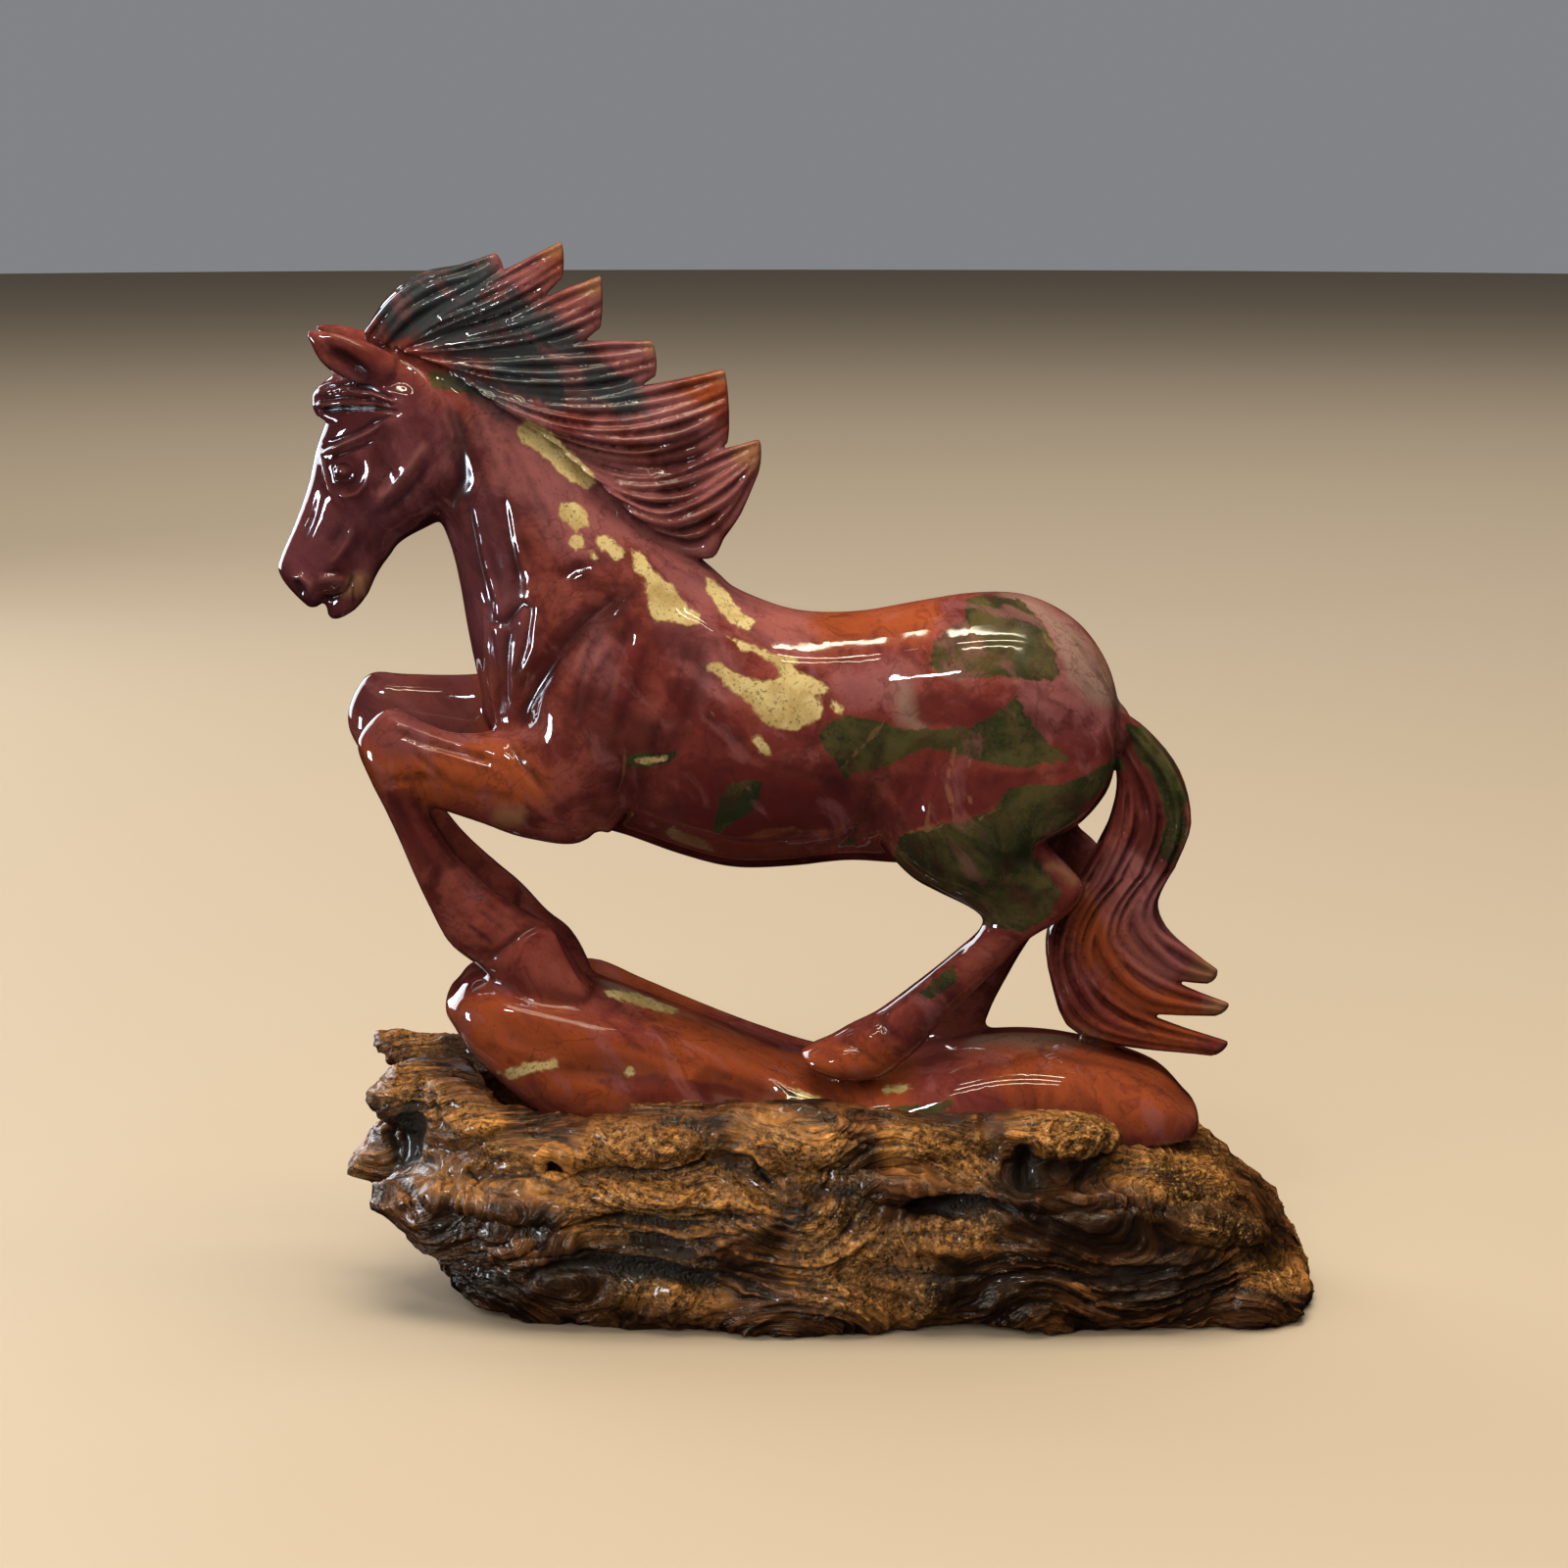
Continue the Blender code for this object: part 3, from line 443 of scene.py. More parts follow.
def circle(x, y, radius, steps=12):
    """The points of a closed ring on the sheet."""
    turns = [2 * math.pi * i / steps for i in range(steps + 1)]
    return tuple((x + radius * math.cos(a), y + radius * math.sin(a)) for a in turns)


# Strokes of the chisel. Each is the side it is on (near, far or both), the half width of the
# groove, its depth, or with a minus sign the height of a ridge, and its line as x, y points.
BODY_STROKES = (
    ("both", 20, 5, (642, 596), (604, 628), (572, 660), (541, 700), (522, 738)),
    ("both", 20, 4, (706, 650), (716, 690), (694, 750), (660, 800)),
    ("near", 11, 3.4, (642, 776), (636, 800), (630, 822)),
    ("both", 15, 4, (534, 560), (523, 620), (516, 680), (512, 730)),
    ("both", 15, 2.4, (452, 440), (474, 500), (500, 560), (520, 620)),
    ("both", 18, 3.6, (876, 850), (890, 826), (902, 796)),
    ("near", 30, 12, (730, 1110), (776, 1122)),
    ("near", 20, 5, (560, 1090), (640, 1096), (700, 1100)),
    # The neck's long folds and the chest.
    ("both", 8, 3.4, (474, 510), (486, 560), (500, 612)),
    ("both", 8, -2.6, (484, 516), (494, 566), (505, 616)),
    ("both", 7, 2.6, (512, 500), (520, 552), (530, 600)),
    ("both", 6, -1.8, (520, 504), (528, 548), (536, 586)),
    ("both", 6, 2.0, (536, 486), (546, 512), (556, 540)),
    ("both", 9, -2.2, (406, 362), (432, 386), (452, 420), (462, 456)),
    ("near", 7, 3.4, (498, 596), (501, 634), (516, 636), (533, 616), (541, 622), (536, 660), (522, 700)),
    ("near", 6, 2.6, (500, 640), (505, 690), (512, 734)),
    ("near", 6, 2.6, (518, 644), (515, 690), (517, 726)),
    # Shoulder and upper arm.
    ("both", 8, 3.2, (636, 604), (600, 632), (572, 662), (548, 700), (530, 734)),
    ("both", 9, 3.0, (622, 640), (603, 664), (592, 700), (586, 742)),
    ("near", 8, 2.4, (646, 640), (628, 680), (618, 724)),
    ("near", 9, -2.2, (560, 672), (540, 706), (528, 732)),
    ("near", 9, 3.2, (514, 748), (532, 780), (562, 812)),
    ("near", 6, 2.4, (526, 746), (541, 776)),
    ("near", 9, 2.4, (564, 596), (588, 580), (616, 574)),
    # Forearm and knee.
    ("near", 7, -2.6, (395, 735), (430, 748), (458, 758), (508, 770)),
    ("near", 6, 2.2, (400, 746), (436, 760), (480, 772), (520, 786)),
    ("near", 6, -2.0, (436, 764), (470, 774), (513, 784)),
    ("near", 7, 2.4, (416, 762), (440, 784), (462, 802)),
    ("near", 9, 2.2, (378, 796), (410, 797), (446, 794)),
    ("near", 7, 1.8, (362, 756), (366, 772), (378, 790)),
    # Cannon, tendon and feather of the near foreleg.
    ("near", 7, 2.4, (438, 838), (462, 872), (500, 908), (544, 936)),
    ("near", 5, 2.4, (484, 926), (504, 940), (522, 956)),
    ("near", 5, 2.4, (504, 924), (524, 938), (540, 952)),
    ("near", 5, 2.4, (470, 940), (492, 956), (508, 968)),
    ("near", 8, 3.4, (490, 986), (516, 966), (540, 948), (556, 946)),
    # The hoof's rim.
    ("near", 5, -2.6, (530, 961), (550, 950), (564, 954), (576, 980), (590, 1004), (600, 1009)),
    ("near", 6, 3.0, (570, 950), (582, 972), (596, 998)),
    # Belly, flank and stifle.
    ("both", 7, 1.5, (846, 866), (868, 854), (884, 836)),
    ("both", 8, -1.6, (950, 800), (946, 830), (938, 852)),
    ("both", 7, 1.6, (960, 780), (964, 810), (956, 846)),
    ("both", 7, 1.4, (976, 790), (980, 820), (974, 850)),
    ("both", 26, 3.0, (900, 700), (890, 760), (884, 820)),
    # Hock, cannon and hoof of the near hind leg.
    ("near", 9, -3.2, (1066, 864), (1086, 884), (1106, 904)),
    ("near", 8, 2.6, (1050, 868), (1066, 892), (1092, 908)),
    ("near", 8, 2.2, (1020, 872), (1040, 900), (1050, 926)),
    ("near", 6, 1.8, (1000, 948), (976, 976), (948, 1004)),
    ("near", 9, 3.2, (892, 1030), (904, 1050), (928, 1068)),
    ("near", 7, 2.6, (846, 1060), (866, 1064), (894, 1084), (902, 1096)),
    ("near", 8, -2.0, (868, 1050), (888, 1058), (904, 1074)),
    # The rock's hollows and ribs.
    ("near", 18, 2.6, (490, 1040), (540, 1066), (600, 1078), (680, 1084)),
    ("near", 17, -3.4, (480, 1018), (540, 1036), (600, 1050), (690, 1062), (770, 1092), (856, 1126)),
)
HEAD_STROKES = (
    ("both", 12, 3.6, (454, 404), (470, 444), (474, 488), (455, 524)),
    # Eye socket, eyeball, its rim, the outer lid, the front line and the brow.
    ("both", 23, 3.0, (350, 484), (354, 487)),
    ("both", 10, -5.0, (349, 481), (351, 482)),
    ("both", 2.8, -1.7, (340, 478), (345, 472), (353, 471), (359, 475), (361, 483), (358, 490), (350, 492),
     (342, 490), (340, 478)),
    ("both", 3.6, -2.0, (374, 466), (377, 480), (373, 494), (364, 504), (352, 507), (343, 503)),
    ("both", 3.2, -2.2, (328, 464), (331, 474), (332, 486), (335, 497), (339, 506)),
    ("both", 3.6, -3.4, (328, 464), (340, 458), (354, 452), (368, 446), (380, 440), (389, 433)),
    ("both", 3.4, 2.8, (337, 469), (346, 464), (358, 460), (370, 456), (381, 449)),
    ("both", 3.6, 2.4, (331, 453), (348, 447), (364, 441), (380, 432), (402, 423)),
    # The forelock's strands.
    ("both", 4, 3.6, (320, 398), (348, 392), (378, 396), (404, 408)),
    ("both", 4, 3.6, (320, 409), (350, 405), (382, 408), (406, 414)),
    ("both", 4, 3.4, (323, 420), (352, 417), (388, 417), (410, 420)),
    ("both", 3.6, -1.8, (320, 403), (350, 398), (380, 402), (404, 411)),
    ("both", 3.6, -1.8, (322, 414), (352, 411), (384, 412)),
    # Cheekbone, face crest and muzzle.
    ("both", 8, -2.8, (378, 518), (398, 500), (420, 474), (438, 448)),
    ("both", 9, 2.8, (384, 530), (408, 512), (430, 488), (446, 462)),
    ("both", 7, 2.0, (384, 470), (396, 482), (380, 506)),
    ("both", 5, -2.2, (362, 532), (355, 552), (344, 568), (332, 576)),
    ("both", 8, 2.4, (352, 526), (344, 548), (332, 564)),
    ("both", 8, 2.0, (372, 540), (364, 560), (350, 576)),
    ("both", 7, 1.8, (330, 492), (320, 530), (306, 562)),
    # Nostril and mouth.
    ("both", 6, 4.6, (303, 596), (308, 604)),
    ("both", 5, -3.0, (296, 590), (306, 588), (316, 596), (317, 608)),
    ("both", 8, -2.6, (330, 590), (346, 592)),
    ("both", 3.6, 3.8, (328, 610), (338, 611), (350, 606), (358, 596), (360, 584)),
    ("both", 4, 2.2, (326, 586), (344, 583), (354, 588)),
    ("both", 4, 2.6, (360, 600), (362, 614)),
    ("both", 6, -2.0, (368, 592), (372, 606)),
    # The ear's cup.
    ("near", 10, 12, (332, 356), (350, 364), (368, 378), (378, 386)),
    ("near", 5, -1.8, (322, 352), (332, 368), (352, 382), (376, 392)),
    ("near", 5, -2.0, (332, 340), (356, 348), (378, 360)),
    ("far", 7, 5.0, (338, 348), (356, 360), (372, 370)),
)
# The parts of the sheet where the skin is split finer before it is carved, as x, y, x, y.
EYE_AND_MOUTH = ((318, 392, 408, 514), (288, 578, 380, 630))
WOOD_STROKES = (
    ("near", 30, 16, (414, 1152), (416, 1178)),
    ("near", 22, 10, (520, 1298), (600, 1292), (680, 1300), (760, 1318)),
    ("near", 18, 13, (905, 1236), (950, 1234), (1000, 1238)),
    ("near", 20, 12, (1042, 1176), (1046, 1206)),
    ("near", 18, 6, (440, 1196), (520, 1202), (620, 1192), (700, 1190)),
    ("near", 18, 6, (700, 1162), (760, 1196), (820, 1216), (900, 1218)),
    ("near", 18, 6, (1010, 1200), (1080, 1198), (1150, 1190), (1200, 1196)),
    ("near", 18, 6, (860, 1298), (960, 1302), (1080, 1304), (1200, 1304)),
    ("far", 18, 6, (520, 1180), (660, 1176), (800, 1180), (960, 1190)),
    ("far", 18, 6, (560, 1256), (720, 1250), (880, 1252), (1040, 1240)),
    # The left end: a rimmed hollow, a knob and their cracks.
    ("near", 8, -5, (424, 1138), (438, 1152), (440, 1172), (424, 1192), (396, 1198)),
    ("near", 9, 5, (392, 1136), (400, 1128), (436, 1128)),
    ("near", 6, -3, (398, 1092), (424, 1084), (460, 1088)),
    ("near", 7, -4, (444, 1104), (452, 1130), (470, 1150), (510, 1152)),
    ("near", 7, 5, (440, 1112), (446, 1138), (462, 1156)),
    ("near", 6, 4, (398, 1204), (420, 1222), (428, 1250)),
    ("near", 7, -3, (386, 1212), (402, 1206), (412, 1222)),
    ("near", 8, 5, (440, 1240), (490, 1240), (548, 1250)),
    ("near", 5, 3.5, (472, 1192), (484, 1206), (492, 1216)),
    # The knot hole's rim, the swirl and the front's long cracks.
    ("near", 4, -1.6, *circle(567, 1188, 17)),
    ("near", 15, 17, (565, 1188), (569, 1189)),
    ("near", 5, -3.5, (726, 1168), (768, 1176), (790, 1194), (806, 1216)),
    ("near", 6, 4, (736, 1178), (766, 1186), (790, 1210)),
    ("near", 6, 5, (696, 1140), (690, 1158), (676, 1166), (700, 1172)),
    ("near", 5, 7, (494, 1296), (540, 1282), (600, 1278), (660, 1288), (720, 1296), (790, 1322)),
    ("near", 6, -4, (480, 1288), (520, 1274), (556, 1262)),
    ("near", 6, 4, (640, 1206), (690, 1212), (720, 1206)),
    ("near", 5, 4, (560, 1256), (620, 1244), (700, 1250), (780, 1240)),
    ("near", 5, 4, (640, 1264), (700, 1268), (770, 1258)),
    ("near", 6, -3, (700, 1236), (740, 1228), (790, 1236), (840, 1256)),
    ("near", 5, 4, (690, 1242), (740, 1240), (784, 1252)),
    ("near", 5, -3, (820, 1156), (860, 1150), (910, 1160)),
    ("near", 5, 3, (824, 1166), (866, 1162), (904, 1172)),
    ("near", 7, 9, (910, 1232), (950, 1226), (1000, 1230), (1040, 1236)),
    ("near", 8, -4, (910, 1254), (960, 1250), (1004, 1246)),
    # The right end: knot lobe, pits and the pointed lump.
    ("near", 5, -4, (1024, 1160), (1060, 1158), (1084, 1176), (1112, 1182)),
    ("near", 5, -3.5, *circle(1096, 1158, 26)),
    ("near", 6, 4, (1070, 1150), (1096, 1146), (1116, 1156)),
    ("near", 5, 4, (1124, 1144), (1132, 1160), (1124, 1178)),
    ("near", 9, 6, (1040, 1176), (1046, 1190)),
    ("near", 5, -3, (1030, 1200), (1044, 1214), (1058, 1206)),
    ("near", 7, 5, (1180, 1200), (1176, 1240), (1190, 1262)),
    ("near", 6, 5, (1204, 1226), (1236, 1226), (1280, 1252)),
    ("near", 7, 5, (1200, 1268), (1250, 1276), (1290, 1268)),
    ("near", 7, 5, (1258, 1284), (1262, 1310), (1256, 1340)),
    ("near", 5, 4, (1090, 1310), (1140, 1308), (1200, 1300)),
    ("near", 5, 4, (1100, 1330), (1150, 1326), (1190, 1318)),
    ("near", 5, 3.5, (1110, 1240), (1150, 1232), (1186, 1240)),
    ("near", 6, 5, (1220, 1180), (1262, 1216), (1296, 1262)),
    ("both", 6, 4, (1250, 1190), (1290, 1236), (1312, 1276)),
)
# Where the grain flows round something, as x, y, the reach and how strongly it is pushed aside.
KNOTS = (
    (800, 1190, 60, 0.7),
    (1096, 1158, 44, 1.0),
    (1044, 1192, 30, 0.9),
    (470, 1208, 46, 0.6),
    (955, 1232, 60, 0.5),
    (1240, 1252, 44, 0.8),
    (590, 1292, 70, 0.5),
    (690, 1156, 34, 0.6),
    (880, 1300, 60, 0.4),
)
# The waves of the grain's level lines, in units: how long they are along, up and across, and how high.
WAVE_LENGTHS = (120, 100, 60)
WAVE_HEIGHT = 46
# The wood's own growth, in metres: how far its skin swells, the heights of its knurls, cords,
# wrinkles and crinkles, the depth of its pits, and what they add up to on average, which is taken off.
SWELL_HEIGHT = 0.0026
KNURL_HEIGHT = 0.0021
CORD_HEIGHT = 0.0013
WRINKLE_HEIGHT = 0.0010
CRINKLE_HEIGHT = 0.0007
PIT_DEPTH = 0.0009
MEAN_GROWTH = 0.0026
# How finely the swells and the knurls change along, across and up.
SWELL_FINENESS = Vector((24, 40, 46))
KNURL_FINENESS = Vector((34, 50, 62))
# Seed of the noise that bends the grain. Without one it would differ from run to run.
GRAIN_SEED = 1


def sheet_point(x, y, depth, scale):
    """The place where the line of sight through a point of the sheet meets the plane at that depth."""
    ray = FORWARD + (UPWARD * (SHEET_CENTRE - y) + Vector((x - SHEET_CENTRE, 0, 0))) / EYE_DISTANCE
    place = EYE + ray * ((depth - EYE.y) / ray.y)
    return Vector(a * b for a, b in zip(place, scale))


def sheet_spots(points):
    """Where points, in the sheet's units, are seen on the sheet."""
    seen = points - EYE
    along = seen @ FORWARD
    across = EYE_DISTANCE * seen[:, 0] / along
    down = EYE_DISTANCE * (seen @ UPWARD) / along
    return np.stack((SHEET_CENTRE + across, SHEET_CENTRE - down), 1)


def distance_to_line(spots, line):
    """How far each spot is from the nearest part of the line."""
    nearest = np.full(len(spots), np.inf)
    for start, end in zip(line, line[1:]):
        run = np.subtract(end, start)
        share = np.clip((spots - start) @ run / max(run @ run, 1e-9), 0, 1)
        nearest = np.minimum(nearest, np.linalg.norm(spots - start - share[:, None] * run, axis=1))
    return nearest


def smooth_step(value):
    """0 below 0, 1 above 1, smooth between."""
    value = np.clip(value, 0, 1)
    return value * value * (3 - 2 * value)


def rise(value, low, width):
    """0 below low, 1 from a width above it, smooth between."""
    return smooth_step((value - low) / width)


def between(rows, steps):
    """The rows with steps - 1 more between each pair, on a smooth curve through them."""
    last = len(rows) - 1
    smooth = []
    for i in range(last):
        four = [rows[max(i - 1, 0)], rows[i], rows[i + 1], rows[min(i + 2, last)]]
        for step in range(steps):
            t = step / steps
            smooth.append(
                [
                    b + 0.5 * t * (c - a + t * (2 * a - 5 * b + 4 * c - d + t * (3 * (b - c) + d - a)))
                    for a, b, c, d in zip(*four)
                ]
            )
    return smooth + [list(rows[last])]


def ring(shape, centre, up, side, corners, squareness):
    """The edges of a closed loop round the centre, drawn out from a circle to a rounded box."""
    made = bmesh.ops.create_circle(shape, segments=corners, radius=1)["verts"]
    for vert in made:
        u, v = (math.copysign(abs(a) ** (2 / squareness), a) for a in vert.co.xy)
        vert.co = centre + up * u + side * v
    # The edges keep their order, so that every run joins them into the same faces.
    return list(dict.fromkeys(edge for vert in made for edge in vert.link_edges))


def domed(frames):
    """The frames with smaller ones before the first and after the last, as a rounded end."""
    ends = []
    for end, following in ((frames[0], frames[1]), (frames[-1], frames[-2])):
        centre, up, side = end
        outward = (centre - following[0]).normalized() * min(up.length, side.length) * 0.6
        slopes = [math.radians(turn) for turn in (75, 50, 25)]
        ends.append([(centre + outward * math.sin(a), up * math.cos(a), side * math.cos(a)) for a in slopes])
    return ends[0] + frames + ends[1][::-1]


def loft(shape, sections, scale, steps=4, corners=24, squareness=2.0, growth=0.0):
    """Adds a closed form through the sections, with rounded ends, grown by a distance on every side."""
    frames = []
    for x1, y1, x2, y2, half_width, depth in between(sections, steps):
        head, foot = sheet_point(x1, y1, depth, scale), sheet_point(x2, y2, depth, scale)
        up = (head - foot) / 2
        up += up.normalized() * growth
        frames.append(((head + foot) / 2, up, Vector((0, half_width * scale.y + growth, 0))))
    form = bmesh.new()
    rings = [ring(form, *place, corners, squareness) for place in domed(frames)]
    for first, second in zip(rings, rings[1:]):
        bmesh.ops.bridge_loops(form, edges=first + second)
    for end in (rings[0], rings[-1]):
        bmesh.ops.edgeloop_fill(form, edges=end)
    bmesh.ops.recalc_face_normals(form, faces=form.faces[:])
    mesh = bpy.data.meshes.new("form")
    form.to_mesh(mesh)
    form.free()
    shape.from_mesh(mesh)
    bpy.data.meshes.remove(mesh)


def lock(shape, upper, lower, thickness, strands, scale):
    """Adds one lock of hair: a solid core with a row of round strands on its near and its far side."""
    loft(shape, [(*a, *b, thick * 0.64, 0) for a, b, thick in zip(upper, lower, thickness)], scale)
    for index in range(strands):
        share = (index + 0.5) / strands
        for side in (-1, 1):
            rows = []
            for place, (a, b, thick) in enumerate(zip(upper, lower, thickness)):
                sway = 0.16 * math.sin(2.3 * index + 1.9 * place + side) / strands
                centre = Vector(a).lerp(Vector(b), share + sway)
                reach = (Vector(a) - Vector(b)) * ((0.52 + 0.13 * math.sin(3.7 * index + side)) / strands)
                bulge = thick * (0.64 + 0.36 * math.sin(math.pi * share) + 0.07 * math.sin(5 * index))
                rows.append((*(centre + reach), *(centre - reach), bulge / 2, side * bulge / 2))
            loft(shape, rows, scale, corners=12)


def evaluated(mesh, kind, **settings):
    """The mesh after one modifier."""
    holder = bpy.data.objects.new("holder", mesh)
    bpy.context.scene.collection.objects.link(holder)
    modifier = holder.modifiers.new(kind.title(), kind)
    for name, value in settings.items():
        setattr(modifier, name, value)
    graph = bpy.context.evaluated_depsgraph_get()
    changed = bpy.data.meshes.new_from_object(holder.evaluated_get(graph))
    bpy.data.objects.remove(holder)
    return changed


def fused(shape, voxel, rounds):
    """The overlapping forms as one skin, with its creases softened."""
    mesh = bpy.data.meshes.new("fused")
    shape.to_mesh(mesh)
    shape.free()
    skin = evaluated(mesh, "REMESH", mode="VOXEL", voxel_size=voxel)
    return evaluated(skin, "SMOOTH", factor=0.5, iterations=rounds)


def reduced(mesh, triangles):
    """The mesh with about that many triangles."""
    ratio = min(1.0, triangles / sum(len(face.vertices) - 2 for face in mesh.polygons))
    return evaluated(mesh, "DECIMATE", ratio=ratio)


def vertex_values(mesh, name):
    """The places or the normals of the mesh's points, a row for each."""
    values = np.empty(len(mesh.vertices) * 3)
    mesh.vertices.foreach_get(name, values)
    return values.reshape(-1, 3)


def set_points(mesh, points):
    """Moves the mesh's points."""
    mesh.vertices.foreach_set("co", points.ravel())
    mesh.update()


def carved(mesh, strokes, scale):
    """Presses each stroke's groove into its side of the mesh. Gives how deep each point went, in units."""
    points, normals = vertex_values(mesh, "co"), vertex_values(mesh, "normal")
    inward = np.zeros(len(points))
    for turn, wanted in ((1, ("near", "both")), (-1, ("far", "both"))):
        facing = np.clip(-2 * turn * normals[:, 1], 0, 1) * (points[:, 1] * turn < 0)
        side = np.nonzero(facing > 0)[0]
        spots = sheet_spots(points[side] * (1, turn, 1) / scale)
        for sides, reach, depth, *line in strokes:
            if sides not in wanted:
                continue
            low, high = np.min(line, 0) - reach, np.max(line, 0) + reach
            close = np.nonzero(((spots > low) & (spots < high)).all(1))[0]
            fade = smooth_step(1 - distance_to_line(spots[close], line) / reach)
            # A long stroke fades out towards its ends, and a short or closed one doesn't.
            if math.dist(line[0], line[-1]) > 4 * reach:
                ends = [np.hypot(*(spots[close] - end).T) for end in (line[0], line[-1])]
                fade *= smooth_step((np.minimum(*ends) + reach / 2) / (3 * reach))
            inward[side[close]] += depth * fade * facing[side[close]]
    set_points(mesh, points - normals * inward[:, None] * scale.y)
    return inward


def mirrored(points):
    """The points with those behind the sheet brought to the near side."""
    near = points.copy()
    near[:, 1] = -np.abs(points[:, 1])
    return near


def in_boxes(points, boxes, scale):
    """Which points the sheet's boxes hold, on either side of the sheet."""
    spots = sheet_spots(mirrored(points) / scale)
    held = np.zeros(len(points), bool)
    for x1, y1, x2, y2 in boxes:
        held |= ((spots > (x1, y1)) & (spots < (x2, y2))).all(1)
    return held


def refined(mesh, boxes, scale):
    """Splits the faces that the sheet's boxes hold."""
    held = in_boxes(vertex_values(mesh, "co"), boxes, scale)
    shape = bmesh.new()
    shape.from_mesh(mesh)
    edges = [edge for edge in shape.edges if held[edge.verts[0].index] and held[edge.verts[1].index]]
    bmesh.ops.subdivide_edges(shape, edges=edges, cuts=1, use_grid_fill=True, smooth=1.0)
    shape.to_mesh(mesh)
    shape.free()


def evened(mesh, longest, model):
    """The mesh with its long edges split, laid back on the model's skin."""
    shape = bmesh.new()
    shape.from_mesh(mesh)
    for _ in range(3):
        edges = [edge for edge in shape.edges if edge.calc_length() > longest]
        if edges:
            bmesh.ops.subdivide_edges(shape, edges=edges, cuts=1)
    shape.to_mesh(mesh)
    shape.free()
    target = bpy.data.objects.new("model", model)
    bpy.context.scene.collection.objects.link(target)
    laid = evaluated(mesh, "SHRINKWRAP", target=target)
    bpy.data.objects.remove(target)
    return laid


def cut_flat(mesh, height):
    """Removes what lies below a height and closes the cut with a flat face."""
    shape = bmesh.new()
    shape.from_mesh(mesh)
    cut = bmesh.ops.bisect_plane(
        shape,
        geom=shape.verts[:] + shape.edges[:] + shape.faces[:],
        plane_co=(0, 0, height),
        plane_no=(0, 0, 1),
        clear_inner=True,
    )
    edges = [item for item in cut["geom_cut"] if isinstance(item, bmesh.types.BMEdge)]
    bmesh.ops.holes_fill(shape, edges=edges, sides=0)
    bmesh.ops.triangulate(shape, faces=shape.faces[:])
    bmesh.ops.recalc_face_normals(shape, faces=shape.faces[:])
    shape.to_mesh(mesh)
    shape.free()


def clear_crumbs(mesh):
    """Removes the loose faces that cuts and reductions leave beside the main part."""
    shape = bmesh.new()
    shape.from_mesh(mesh)
    left, parts = set(shape.verts), []
    while left:
        part, front = [], [left.pop()]
        while front:
            vert = front.pop()
            part.append(vert)
            joined = {edge.other_vert(vert) for edge in vert.link_edges} & left
            left -= joined
            front.extend(joined)
        parts.append(part)
    crumbs = [vert for part in sorted(parts, key=len)[:-1] for vert in part]
    bmesh.ops.delete(shape, geom=crumbs, context="VERTS")
    shape.to_mesh(mesh)
    shape.free()


def settled(mesh, box):
    """Moves the mesh to its place in the frame and keeps it inside its solid's box."""
    clear_crumbs(mesh)
    mesh.transform(Matrix.Translation(CENTRE_SHIFT))
    set_points(mesh, np.clip(vertex_values(mesh, "co"), box[0], box[1]))


def write_field(mesh, name, values):
    """Keeps one number for each point, for the finish to read."""
    field = mesh.attributes.get(name) or mesh.attributes.new(name, "FLOAT", "POINT")
    field.data.foreach_set("value", np.asarray(values, np.float32))


def read_field(mesh, name):
    """The numbers that were kept for the points."""
    values = np.empty(len(mesh.vertices), np.float32)
    mesh.attributes[name].data.foreach_get("value", values)
    return values


def relief(mesh, rounds):
    """How far each point stands out of the mesh when that is smoothed, in metres."""
    smoothed = evaluated(mesh, "SMOOTH", factor=0.5, iterations=rounds)
    away = vertex_values(mesh, "co") - vertex_values(smoothed, "co")
    bpy.data.meshes.remove(smoothed)
    return (away * vertex_values(mesh, "normal")).sum(1)


def inside_patches(spots, patches):
    """How far inside the nearest patch each spot is, in steps of FADE_UNITS, below 0 outside."""
    best = np.full(len(spots), FAR_OUTSIDE)
    for radius, *line in patches:
        line = line * 2 if len(line) == 1 else line
        best = np.maximum(best, (radius - distance_to_line(spots, line)) / FADE_UNITS)
    return best


def inside_outlines(spots, outlines):
    """How far inside the nearest outline each spot is, in steps of FADE_UNITS, below 0 outside."""
    best = np.full(len(spots), FAR_OUTSIDE)
    for outline in outlines:
        loop = (*outline, outline[0])
        inside = np.zeros(len(spots), bool)
        for (x1, y1), (x2, y2) in zip(loop, loop[1:]):
            level = (y1 > spots[:, 1]) != (y2 > spots[:, 1])
            crossing = x1 + (spots[:, 1] - y1) * (x2 - x1) / (y2 - y1 or 1)
            inside ^= level & (spots[:, 0] < crossing)
        best = np.maximum(best, np.where(inside, 1, -1) * distance_to_line(spots, loop) / FADE_UNITS)
    return best


